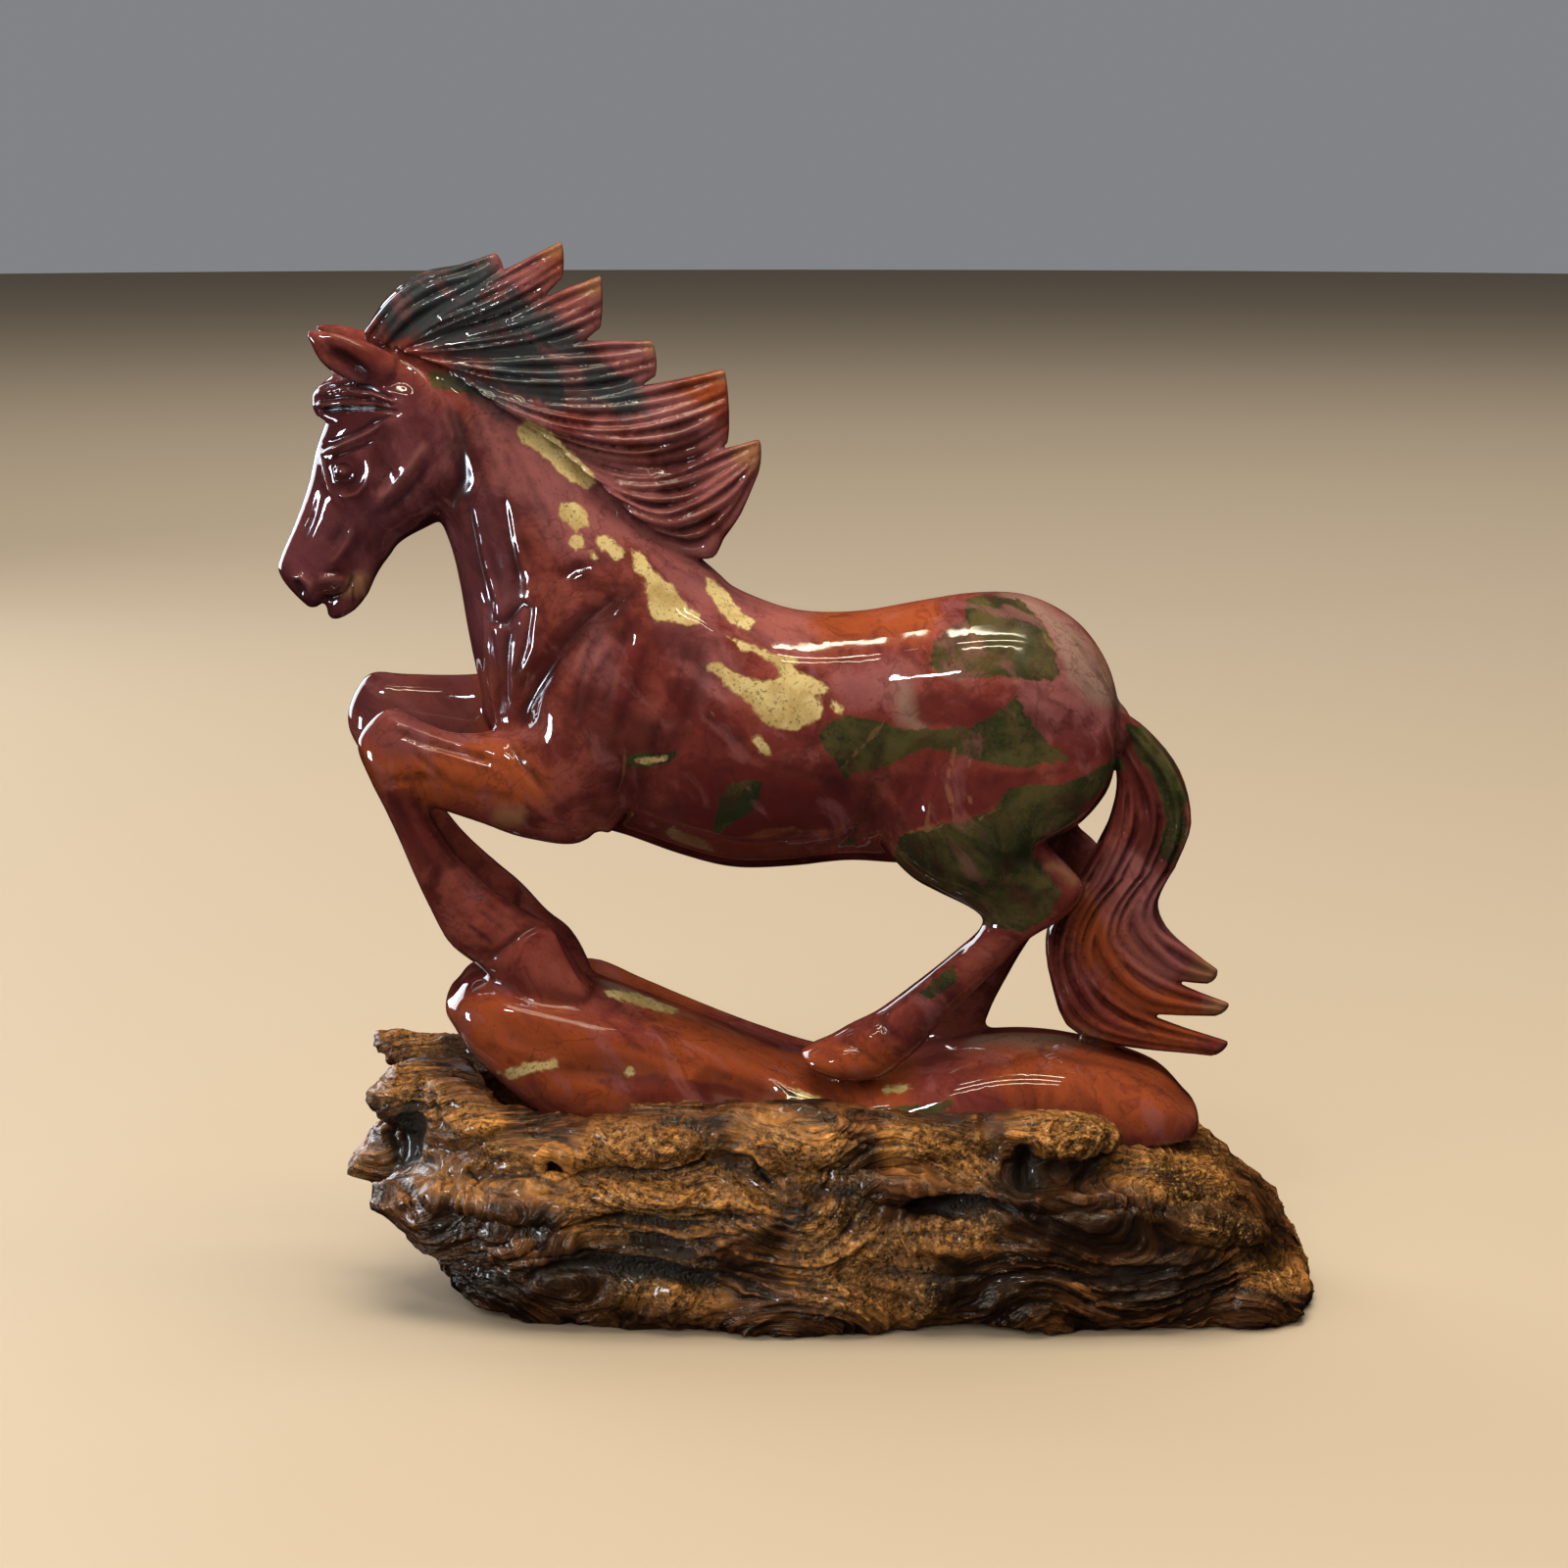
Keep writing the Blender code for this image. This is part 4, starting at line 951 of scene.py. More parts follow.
# Where the stone changes colour, and where shade, a sheen and a reflection are painted on it. The
# crisp patches are outlines, as x, y points. The soft ones are a half width and a line.
CREAM_NEAR = (
    ((527, 437), (538, 428), (552, 436), (566, 446), (580, 458), (590, 470), (601, 478), (608, 492),
     (600, 499), (588, 494), (572, 484), (560, 470), (545, 458), (530, 448)),
    ((569, 514), (585, 512), (597, 520), (601, 535), (588, 541), (575, 532)),
    ((583, 548), (592, 546), (597, 555), (588, 562), (582, 556)),
    ((609, 548), (620, 546), (629, 556), (638, 566), (628, 570), (618, 562), (610, 558)),
    ((601, 561), (611, 563), (609, 571), (601, 569)),
    ((646, 560), (656, 566), (662, 578), (673, 589), (686, 597), (694, 611), (702, 620), (713, 625),
     (713, 635), (700, 638), (684, 634), (670, 633), (662, 622), (662, 608), (656, 600), (662, 596),
     (658, 588), (646, 578)),
    ((720, 589), (729, 594), (741, 605), (751, 618), (761, 628), (772, 634), (765, 643), (752, 639),
     (737, 626), (727, 611), (721, 600)),
    # A painted reflection: the golden lines under the highlight along the back.
    ((742, 649), (760, 655), (790, 667), (816, 671), (812, 677), (786, 674), (756, 662)),
    ((721, 678), (732, 675), (743, 684), (758, 691), (775, 696), (790, 693), (801, 687), (813, 692),
     (823, 700), (831, 712), (839, 722), (839, 733), (826, 739), (812, 745), (797, 743), (785, 741),
     (775, 730), (764, 715), (751, 708), (741, 700), (734, 690), (723, 684)),
    ((788, 675), (806, 679), (820, 688), (836, 695), (847, 704), (838, 708), (822, 703), (809, 691),
     (797, 687)),
    ((850, 714), (860, 722), (858, 730), (851, 724)),
    ((767, 752), (776, 751), (785, 762), (787, 771), (778, 771), (770, 760)),
    ((644, 775), (664, 772), (684, 770), (678, 778), (660, 780)),
    ((508, 1094), (524, 1090), (546, 1084), (566, 1081), (568, 1088), (546, 1095), (522, 1101)),
    ((636, 1094), (644, 1089), (648, 1094), (640, 1100)),
    ((616, 1010), (650, 1014), (694, 1028), (690, 1034), (650, 1026), (618, 1016)),
    ((806, 1110), (836, 1120), (868, 1134), (850, 1138), (820, 1128)),
    ((900, 1110), (926, 1107), (940, 1109), (926, 1113), (904, 1115)),
)
GREEN_NEAR = (
    ((1146, 738), (1172, 742), (1198, 772), (1212, 812), (1210, 856), (1196, 884), (1182, 872), (1190, 836),
     (1180, 800), (1158, 770)),
    ((984, 614), (1000, 606), (1040, 610), (1066, 636), (1084, 688), (1074, 695), (1020, 690), (970, 693),
     (948, 681), (952, 655), (970, 642), (986, 632)),
    ((830, 748), (845, 737), (862, 729), (905, 737), (920, 744), (990, 741), (1008, 733), (1030, 716),
     (1040, 704), (1046, 728), (1060, 748), (1078, 764), (1096, 776), (1040, 784), (1000, 776), (975, 768),
     (945, 763), (920, 776), (890, 784), (862, 793), (851, 776), (837, 757)),
    ((917, 852), (945, 848), (960, 840), (990, 836), (1016, 824), (1030, 802), (1080, 800), (1110, 790),
     (1142, 770), (1150, 780), (1128, 802), (1102, 830), (1082, 850), (1056, 860), (1054, 872), (1070, 892),
     (1086, 914), (1070, 936), (1040, 952), (1004, 946), (940, 920), (908, 890)),
    ((732, 815), (744, 801), (760, 795), (777, 796), (777, 812), (769, 828), (753, 838), (741, 846),
     (729, 852), (731, 830)),
    ((638, 774), (650, 768), (692, 766), (686, 780), (660, 784), (640, 782)),
    ((850, 866), (870, 852), (884, 842), (878, 856), (858, 868)),
    ((936, 1016), (950, 1002), (972, 986), (978, 1000), (960, 1016), (944, 1022)),
    ((790, 1106), (830, 1118), (880, 1130), (940, 1128), (976, 1120), (960, 1138), (880, 1144),
     (820, 1136)),
    ((436, 376), (470, 384), (500, 400), (512, 414), (490, 404), (462, 400), (440, 396)),
)
GREY_NEAR = (
    # On the rump, the grey is painted sheen.
    ((1020, 606), (1050, 608), (1090, 634), (1130, 684), (1146, 720), (1120, 716), (1092, 694), (1080, 660),
     (1060, 628)),
    ((918, 698), (926, 702), (928, 730), (944, 738), (940, 748), (922, 738), (916, 716)),
    ((986, 1050), (1080, 1050), (1120, 1060), (1060, 1068), (990, 1064)),
    ((616, 996), (700, 1014), (780, 1048), (772, 1056), (700, 1030), (620, 1010)),
)
# Painted shade in the eye, ear, nostril, mouth and creases, under the jaw and belly, between locks.
SHADE_NEAR = (
    (15, (344, 482), (354, 484)),
    (9, (344, 357), (362, 370), (376, 381)),
    (12, (328, 424), (356, 428), (392, 414)),
    (18, (402, 560), (440, 536), (462, 500), (470, 456)),
    (12, (392, 396), (414, 404), (430, 430)),
    (9, (368, 500), (380, 470), (396, 440)),
    (12, (292, 592), (304, 606)),
    (11, (352, 570), (346, 600), (330, 624)),
    (10, (336, 440), (344, 458)),
    (20, (348, 480), (356, 486)),
    (8, (330, 410), (380, 404)),
    (7, (650, 602), (600, 642), (560, 690), (534, 736)),
    (6, (642, 640), (606, 690), (590, 744)),
    (6, (660, 664), (644, 716), (626, 764)),
    (6, (560, 604), (552, 640), (534, 690)),
    (5, (588, 588), (618, 570), (650, 566)),
    (22, (684, 652), (704, 656)),
    (10, (930, 720), (980, 714), (1020, 730)),
    (8, (1030, 726), (1066, 740)),
    (26, (600, 720), (650, 760), (640, 820)),
    (40, (700, 850), (800, 860)),
    (30, (420, 320), (470, 300)),
    (30, (520, 350), (600, 390)),
    (24, (1160, 770), (1186, 820), (1190, 870)),
    (30, (1010, 900), (1060, 900)),
    (22, (700, 450), (690, 510)),
    (14, (900, 830), (890, 860)),
    (14, (460, 860), (540, 920)),
)
ORANGE_NEAR = (
    (44, (400, 765), (460, 784)),
    (26, (480, 774), (530, 794)),
    (40, (500, 1050), (600, 1090)),
    (26, (640, 1090), (690, 1110)),
    (46, (1050, 1080), (1110, 1092), (1170, 1112)),
    (40, (700, 1020), (760, 1040)),
    (36, (450, 1050), (540, 1064), (620, 1090)),
    (34, (700, 1080), (800, 1096), (900, 1100)),
    (20, (780, 634), (880, 638), (940, 630)),
    (20, (740, 380), (720, 400)),
    (20, (570, 250), (580, 290)),
    (18, (900, 1110), (860, 1100)),
    (30, (1120, 940), (1160, 1010), (1200, 1044)),
)
MAUVE_NEAR = (
    (30, (700, 640), (730, 690)),
    (24, (870, 700), (910, 690)),
    (30, (1060, 720), (1110, 730)),
    (40, (520, 440), (600, 540)),
    (26, (690, 580), (720, 600)),
    (20, (600, 640), (620, 700)),
    (36, (1150, 900), (1186, 970)),
    (34, (600, 470), (700, 560), (800, 640)),
    (26, (700, 470), (800, 560), (880, 590)),
    # Painted sheen on the middle of the rump.
    (40, (1040, 650), (1100, 700)),
    (30, (520, 270), (600, 320), (660, 370)),
    (28, (660, 410), (710, 450), (750, 500)),
)
PALE_NEAR = (
    (10, (512, 834), (528, 834)),
    (13, (566, 250), (578, 246)),
    (14, (606, 290), (616, 284)),
    (12, (664, 350), (672, 350)),
    (10, (738, 380), (746, 378)),
    (16, (764, 462), (776, 470)),
    (10, (362, 598), (372, 596)),
    (6, (1074, 882), (1096, 898)),
    # Painted sheen on the rump's right edge.
    (8, (1124, 650), (1140, 690)),
    (16, (1226, 990), (1240, 990)),
    (12, (1240, 1028), (1252, 1030)),
)
CREAM_FAR = (
    ((806, 656), (830, 650), (866, 676), (906, 684), (900, 698), (856, 700), (822, 680)),
    ((878, 716), (900, 712), (924, 732), (906, 742), (884, 730)),
    ((550, 470), (572, 476), (604, 512), (598, 524), (570, 504)),
    ((636, 596), (652, 594), (668, 618), (656, 626), (640, 610)),
    ((1016, 756), (1034, 754), (1054, 780), (1040, 786), (1022, 772)),
    ((694, 1076), (740, 1074), (786, 1092), (760, 1098), (710, 1090)),
)
GREEN_FAR = (
    ((912, 702), (926, 676), (952, 664), (974, 648), (1004, 636), (1030, 646), (1058, 642), (1084, 662),
     (1110, 690),
     (1102, 712), (1078, 722), (1060, 740), (1030, 728), (1004, 716), (978, 728), (948, 722), (930, 734)),
    ((676, 748), (700, 734), (722, 738), (744, 722), (772, 730), (800, 724), (832, 738), (822, 754),
     (798, 762),
     (776, 778), (750, 772), (724, 786), (700, 774), (684, 766)),
    ((918, 862), (948, 846), (980, 850), (1012, 834), (1044, 842), (1078, 832), (1094, 850), (1078, 876),
     (1086, 900), (1062, 918), (1040, 940), (1012, 930), (984, 932), (956, 908), (934, 888)),
    ((548, 700), (564, 686), (580, 696), (598, 688), (612, 712), (608, 734), (622, 752), (604, 766),
     (588, 784),
     (570, 764), (560, 738), (546, 722)),
    ((1060, 1092), (1086, 1080), (1112, 1086), (1134, 1082), (1160, 1102), (1150, 1118), (1128, 1126),
     (1108, 1138), (1086, 1122), (1070, 1114)),
)
GREY_FAR = (
    # On the rump, the grey is painted sheen.
    ((1010, 606), (1060, 612), (1110, 660), (1100, 690), (1060, 650)),
    ((860, 720), (900, 730), (880, 760), (850, 748)),
)
# Painted shade on the far side: by the shoulder, under the belly, between the locks, by the hock.
SHADE_FAR = (
    (26, (620, 700), (660, 780)),
    (34, (740, 850), (840, 850)),
    (30, (470, 320), (600, 390)),
    (20, (1000, 900), (1060, 900)),
    (18, (900, 760), (930, 820)),
)
ORANGE_FAR = (
    (40, (420, 730), (480, 740)),
    (60, (560, 1060), (680, 1100)),
    (40, (960, 800), (1040, 790)),
    (34, (600, 560), (640, 600)),
)
PALE_FAR = PALE_NEAR[:5]
# The rest of the stone's patches are on both sides. DULL, where the polish is worn, and WINE, crisp
# patches of a darker red, are outlines. LINES, fine and dark, partly veins and partly painted shade
# along the carved creases, the eye, the nostril and the mouth, SEAMS, thin and pale, PLUM and SLATE
# are a half width and a line.
DULL = (
    ((1048, 590), (1110, 596), (1170, 640), (1184, 730), (1110, 730), (1052, 716)),
)
WINE = (
    ((935, 735), (945, 715), (955, 700), (965, 712), (985, 718), (1000, 708), (1010, 722), (1025, 716),
     (1036, 700), (1042, 722), (1056, 742), (1020, 738), (990, 745), (950, 742)),
    ((1065, 770), (1080, 740), (1092, 715), (1098, 742), (1112, 722), (1120, 748), (1136, 730), (1140, 768),
     (1110, 782), (1085, 778)),
    ((905, 792), (1000, 786), (1086, 788), (1056, 806), (1000, 830), (930, 844), (910, 820)),
    ((676, 690), (704, 692), (736, 716), (766, 756), (744, 766), (706, 742), (682, 716)),
    ((690, 780), (740, 770), (800, 790), (850, 804), (880, 826), (840, 850), (760, 858), (700, 846)),
    ((560, 640), (600, 610), (620, 620), (596, 650), (566, 700), (548, 720), (546, 680)),
    ((640, 660), (662, 656), (652, 700), (634, 744), (622, 740), (630, 700)),
    ((600, 1100), (680, 1096), (760, 1110), (760, 1136), (660, 1130)),
    ((390, 800), (420, 806), (440, 840), (450, 880), (430, 890), (404, 850)),
)
LINES = (
    (1.5, (336, 470), (344, 466), (356, 466), (364, 472), (367, 484), (362, 496), (350, 499), (340, 496)),
    (1.2, (343, 481), (349, 475), (356, 480), (354, 488), (345, 489), (343, 481)),
    (1.6, (331, 468), (336, 480), (338, 498)),
    (1.8, (332, 457), (352, 450), (372, 442), (390, 434)),
    (1.6, (328, 610), (340, 611), (352, 604), (360, 590)),
    (2.6, (303, 598), (308, 604)),
    (2.2, (436, 446), (458, 500), (480, 556), (498, 612)),
    (1.8, (452, 432), (476, 500), (498, 560), (512, 606)),
    (2.4, (468, 424), (494, 490), (516, 550), (532, 600)),
    (1.8, (484, 424), (510, 486), (532, 544), (548, 590)),
    (2.2, (500, 430), (528, 490), (552, 546), (570, 580)),
    (1.6, (516, 446), (546, 500), (574, 560)),
    (1.8, (420, 470), (440, 500), (452, 520)),
    (2.4, (648, 604), (600, 640), (560, 690), (534, 736)),
    (2.0, (636, 620), (596, 652), (564, 700), (546, 738)),
    (1.8, (640, 640), (606, 690), (590, 744)),
    (2.0, (660, 660), (640, 716), (622, 764)),
    (1.8, (700, 660), (692, 700), (664, 760)),
    (1.6, (575, 560), (600, 600), (640, 596)),
    (1.8, (430, 790), (470, 802), (520, 812)),
    (1.6, (400, 812), (424, 852), (452, 900)),
    (1.8, (420, 816), (446, 862), (480, 910)),
    (1.6, (440, 850), (474, 896), (512, 936)),
    (1.8, (720, 730), (780, 776), (860, 800)),
    (1.6, (884, 800), (900, 760), (906, 730)),
    (2.0, (912, 846), (940, 806), (950, 770)),
    (1.6, (1000, 800), (1040, 790), (1090, 786)),
    (1.8, (940, 880), (990, 900), (1050, 906)),
    (1.6, (950, 860), (1010, 868), (1070, 880)),
    (1.6, (990, 930), (960, 980), (900, 1040)),
    (1.8, (500, 1066), (560, 1086), (640, 1096)),
    (1.8, (1000, 1090), (1070, 1076), (1140, 1090), (1190, 1116)),
    (1.6, (640, 1064), (720, 1090), (800, 1120)),
)
SEAMS = (
    (2.4, (858, 786), (890, 750), (926, 710)),
    (1.6, (965, 625), (934, 640), (955, 690), (1000, 695), (1080, 695)),
    (1.6, (1083, 672), (1060, 640), (1040, 625), (1000, 612)),
    (2.6, (974, 764), (966, 800), (975, 836)),
    (2.0, (958, 772), (950, 806), (946, 848)),
    (1.6, (990, 770), (986, 800), (992, 826)),
    (1.6, (918, 850), (1000, 836), (1060, 800), (1142, 768)),
    (2.0, (640, 766), (634, 800), (622, 832)),
    (1.6, (776, 796), (752, 800), (734, 814)),
    (1.4, (520, 640), (540, 690), (530, 720)),
    (1.6, (1010, 700), (1070, 706), (1130, 690)),
    (1.4, (700, 700), (724, 722), (744, 756)),
    (1.6, (1100, 880), (1110, 900), (1108, 916)),
)
PLUM = (
    (96, (360, 470), (400, 500)),
    (60, (310, 570), (350, 590)),
    (40, (480, 520), (500, 640)),
    (44, (400, 730), (450, 730)),
)
SLATE = (
    (34, (410, 306), (470, 286)),
    (34, (450, 320), (530, 340), (560, 366)),
    (22, (520, 380), (640, 406)),
    (10, (470, 384), (540, 420)),
)
# Where the wood is golden, and where shade is painted on it, in its lower band, its hollows and its
# cracks, as a half width and a line.
AMBER = (
    (44, (600, 1226), (760, 1216)),
    (26, (860, 1240), (900, 1262)),
    (26, (390, 1100), (420, 1110)),
    (34, (1180, 1190), (1230, 1210)),
    (30, (500, 1180), (550, 1196)),
    (24, (450, 1130), (500, 1148)),
    (26, (440, 1190), (480, 1210)),
    (40, (620, 1180), (700, 1190)),
    (40, (780, 1170), (840, 1190)),
    (30, (920, 1168), (990, 1180)),
    (30, (1060, 1150), (1120, 1160)),
    (26, (930, 1262), (1000, 1250)),
    (46, (840, 1290), (920, 1310)),
    (30, (640, 1310), (720, 1320)),
    (24, (1220, 1250), (1270, 1256)),
    (26, (1290, 1300), (1320, 1300)),
    (20, (1140, 1190), (1170, 1200)),
    (18, (365, 1190), (392, 1180)),
)
# Painted shade: the wood's lower band, its hollows and its cracks.
UMBER_SHADE = (
    (18, (450, 1250), (556, 1252)),
    (22, (480, 1310), (560, 1312), (640, 1300)),
    (12, (560, 1280), (640, 1284), (740, 1300)),
    (20, (880, 1180), (870, 1230)),
    (12, (905, 1236), (1000, 1234)),
    (30, (1040, 1230), (1100, 1260), (1190, 1250)),
    (26, (1160, 1310), (1230, 1300)),
    (20, (960, 1310), (1060, 1330)),
    (22, (1190, 1200), (1290, 1270)),
    (14, (400, 1160), (420, 1180)),
)
# A patch's field goes up by one over this many units. FAR_OUTSIDE is its lowest value, and on the
# stone it is kept between LEAST_FIELD and FULL_FIELD.
FADE_UNITS = 10
FAR_OUTSIDE = -9.0
LEAST_FIELD = -3
FULL_FIELD = 1.5
# How far past the middle plane the patches of one side reach before they fade, in units.
SIDE_REACH = 6
# Colours of small things: the depths of the green bands, the fine dark lines, partly painted shade,
# the specks of the cream patches, the painted shade in the grooves and the painted highlight on
# their crests, and the flecks of the wood.
GREEN_SHADE = (0.010, 0.011, 0.006)
LINE_AND_CREASE_SHADE = (0.014, 0.005, 0.005)
CREAM_SPECK = (0.10, 0.085, 0.035)
GROOVE_SHADE = (0.007, 0.003, 0.003)
CREST_HIGHLIGHT = (0.34, 0.13, 0.09)
GOLD_FLECK = (0.62, 0.36, 0.10)

# The point that most of the lights face, and their colours.
AIM = (0, 0, 0.15)
WHITE = (1, 1, 1)
WARM = (1, 0.9, 0.66)
SOFT = (1, 0.96, 0.9)
# The ceiling's strips of light, which the polish shows as streaks, each as its y and its width.
STRIPS = ((-0.12, 0.02), (-0.36, 0.036), (-0.62, 0.026))
STRIP_X = 0.1
STRIP_HEIGHT = 1.15
STRIP_LENGTH = 0.54
# In watts for each metre of a strip's width.
STRIP_POWER = 42
# The other lights: name, place, the point it faces, size, power in watts, colour and the rays that
# don't see it. The left window stands low beside the floor, so it lights nothing but the polish.
LIGHTS = (
    ("ceiling_front", (-0.33, -0.98, 1.16), AIM, (0.16, 0.09), 3, WHITE, None),
    ("window_left", (-1.25, -0.55, 0.15), AIM, (0.26, 0.28), 12, (0.75, 0.86, 1), "diffuse"),
    ("window_behind", (-1.05, 0.95, 0.5), AIM, (0.9, 0.9), 16, (0.85, 0.92, 1), None),
    ("overhead", (0.05, -0.1, 1.6), AIM, (1.2, 1.0), 41, SOFT, "glossy"),
    ("fill", (-0.5, -1.5, 0.9), AIM, (1.2, 1.0), 20, SOFT, "glossy"),
    ("backdrop", (0.1, 2.0, 1.7), (0.1, 2.3, 0), (3.5, 2.0), 55, WHITE, "glossy"),
)
SURROUNDINGS_STRENGTH = 0.3
# The floor lies this far under the stand.
FLOOR_GAP = 0.0005


def metres(name, description, default):
    """A property that holds a length in metres."""
    return FloatProperty(
        name=name,
        description=description,
        default=default,
        precision=5,
        unit="LENGTH",
        subtype="DISTANCE",
    )


def colour(name, description, default):
    """A property that holds a colour."""
    return FloatVectorProperty(
        name=name, description=description, default=default, size=3, min=0, max=1, subtype="COLOR"
    )


class CarvingSizes(bpy.types.PropertyGroup):
    """Sizes of the stone carving."""

    height: metres("Carving height", "Height from its resting face to the highest lock of the mane", 0.228)
    fineness: metres("Fineness", "Smallest form that the carved skin keeps", 0.00042)
    longest_edge: metres("Longest edge", "Longest edge of the finished skin", 0.0023)
    triangles: IntProperty(
        name="Triangles", description="Triangles before the long edges are split", default=108000
    )


class StandSizes(bpy.types.PropertyGroup):
    """Sizes of the root-wood stand."""

    length: metres("Length", "Length of the wood's body", 0.246)
    depth: metres("Depth", "Depth of the wood's body", 0.09)
    height: metres("Height", "Height of the wood's body", 0.055)
    pocket_depth: metres("Pocket depth", "How deep the stone sits in the wood", 0.011)
    pocket_clearance: metres("Pocket clearance", "Room between the stone and the pocket's wall", 0.0016)
    fineness: metres("Fineness", "Smallest form that the wood's skin keeps", 0.0005)
    triangles: IntProperty(
        name="Triangles", description="Triangles before the wood is cut flat and hollowed", default=215000
    )


class StoneColours(bpy.types.PropertyGroup):
    """Colours of the polished stone."""

    oxblood: colour("Oxblood", "Main red-brown of the stone", (0.120, 0.022, 0.016))
    # Deep red also paints the shade of the dark patches.
    deep: colour("Deep red", "Darkest veins of the main red", (0.044, 0.009, 0.008))
    russet: colour("Russet", "Lightest clouds of the main red", (0.19, 0.046, 0.030))
    orange: colour("Orange", "Orange-red parts, such as the forearm and the rock", (0.225, 0.046, 0.011))
    plum: colour("Plum", "Purple-brown of the head and the chest", (0.082, 0.027, 0.034))
    wine: colour("Wine", "Darkest red patches", (0.070, 0.011, 0.009))
    mauve: colour("Mauve", "Greyed red of the neck and the flank", (0.20, 0.069, 0.064))
    # On the rump, grey paints a sheen.
    grey: colour("Grey", "Greyish buff of the rump and the rock's top", (0.20, 0.14, 0.095))
    moss: colour("Moss", "Lightest clouds of the green bands", (0.050, 0.044, 0.014))
    ochre: colour("Ochre", "Darker yellow of the cream patches and their rims", (0.30, 0.20, 0.07))
    olive: colour("Olive", "Dark green bands", (0.016, 0.024, 0.008))
    slate: colour("Slate", "Blue-black of the mane and the tail", (0.026, 0.036, 0.036))
    cream: colour("Cream", "Pale speckled patches", (0.42, 0.31, 0.13))
    sand: colour("Sand", "Beige tips of the hair", (0.22, 0.10, 0.045))


class WoodColours(bpy.types.PropertyGroup):
    """Colours of the lacquered wood."""

    # Bark also paints the shade in the wood's cracks and recesses.
    bark: colour("Bark", "Dark brown of the recesses", (0.010, 0.005, 0.003))
    chestnut: colour("Chestnut", "Warm brown of the swells", (0.31, 0.112, 0.026))
    brown: colour("Brown", "Main brown", (0.112, 0.039, 0.011))
    amber: colour("Amber", "Golden brown of the raised parts", (0.56, 0.225, 0.046))


class StageSettings(bpy.types.PropertyGroup):
    """Camera, floor and lights."""

    distance: metres("Camera distance", "From the camera to the middle of the picture", 1.0)
    lens: FloatProperty(name="Lens", description="Focal length in millimetres", default=90)
    floor_radius: metres("Floor radius", "Half width of the floor", 6)
    floor_colour: colour("Floor", "Pale floor", (0.34, 0.265, 0.18))
    surroundings: colour("Surroundings", "Pale light from all round", (0.74, 0.76, 0.80))


class Value:
    """The output of a node, with the arithmetic of a number."""

    def __init__(self, finish, output):
        self.finish, self.output = finish, output

    def joined(self, operation, first, second):
        """The result of one sum."""
        return self.finish.node("ShaderNodeMath", {"operation": operation}, {0: first, 1: second})

    def __add__(self, other):
        return self.joined("ADD", self, other)

    def __sub__(self, other):
        return self.joined("SUBTRACT", self, other)

    def __rsub__(self, other):
        return self.joined("SUBTRACT", other, self)

    def __mul__(self, other):
        return self.joined("MULTIPLY", self, other)

    __radd__ = __add__
    __rmul__ = __mul__

    def size(self):
        """The number without its sign."""
        return self.joined("ABSOLUTE", self, 0)


class Finish:
    """A material and the nodes that colour it."""

    def __init__(self, name):
        self.material = bpy.data.materials.new(name)
        self.material.use_nodes = True
        self.tree = self.material.node_tree
        self.shader = self.tree.nodes["Principled BSDF"]

    def node(self, kind, settings, inputs, output=0):
        """One output of a new node."""
        made = self.tree.nodes.new(kind)
        for name, value in settings.items():
            setattr(made, name, value)
        for name, value in inputs.items():
            self.feed(made.inputs[name], value)
        return Value(self, made.outputs[output])

    def feed(self, socket, value):
        """Links a node's output to the socket, or sets the socket to a plain value."""
        if isinstance(value, Value):
            self.tree.links.new(value.output, socket)
        else:
            socket.default_value = value

    def set(self, **inputs):
        """Feeds the surface itself."""
        for name, value in inputs.items():
            self.feed(self.shader.inputs[name.replace("_", " ")], value)

    def place(self):
        """Where a point of the surface is."""
        return self.node("ShaderNodeTexCoord", {}, {}, "Object")

    def field(self, name):
        """What write_field kept under the name."""
        return self.node("ShaderNodeAttribute", {"attribute_name": name}, {}, "Fac")

    def scaled(self, vector, factors):
        return self.node("ShaderNodeVectorMath", {"operation": "MULTIPLY"}, {0: vector, 1: factors})

    def added(self, vector, other):
        return self.node("ShaderNodeVectorMath", {"operation": "ADD"}, {0: vector, 1: other})

    def turned(self, vector, angles):
        settings = {"rotation_type": "EULER_XYZ"}
        return self.node("ShaderNodeVectorRotate", settings, {"Vector": vector, "Rotation": angles})

    def vector(self, x, y, z):
        return self.node("ShaderNodeCombineXYZ", {}, {0: x, 1: y, 2: z})

    def cloud(self, vector, scale, detail=3.0, roughness=0.5, distortion=0.0, output="Fac"):
        """Soft noise, from 0 to 1."""
        inputs = {
            "Vector": vector,
            "Scale": scale,
            "Detail": detail,
            "Roughness": roughness,
            "Distortion": distortion,
        }
        return self.node("ShaderNodeTexNoise", {}, inputs, output)

    def cells(self, vector, scale):
        """How far the nearest of many scattered points is."""
        return self.node("ShaderNodeTexVoronoi", {}, {"Vector": vector, "Scale": scale}, "Distance")

    def mixed(self, factor, first, second):
        """The first colour where the factor is 0, the second where it is 1."""
        pair = [value if isinstance(value, Value) else (*value, 1) for value in (first, second)]
        return self.node("ShaderNodeMix", {"data_type": "RGBA"}, {0: factor, 6: pair[0], 7: pair[1]}, 2)

    def stepped(self, value, low, high):
        """0 below low, 1 above high, smooth between."""
        inputs = {"Value": value, "From Min": low, "From Max": high}
        return self.node("ShaderNodeMapRange", {"interpolation_type": "SMOOTHSTEP"}, inputs)

    def tinted(self, body, name, ragged, low, high, strength, tint):
        """The body's colour with a tint where a field with a ragged edge goes from low to high."""
        return self.mixed(self.stepped(self.field(name) + ragged, low, high) * strength, body, tint)

    def bump(self, height, strength, distance):
        inputs = {"Height": height, "Strength": strength, "Distance": distance}
        return self.node("ShaderNodeBump", {}, inputs)


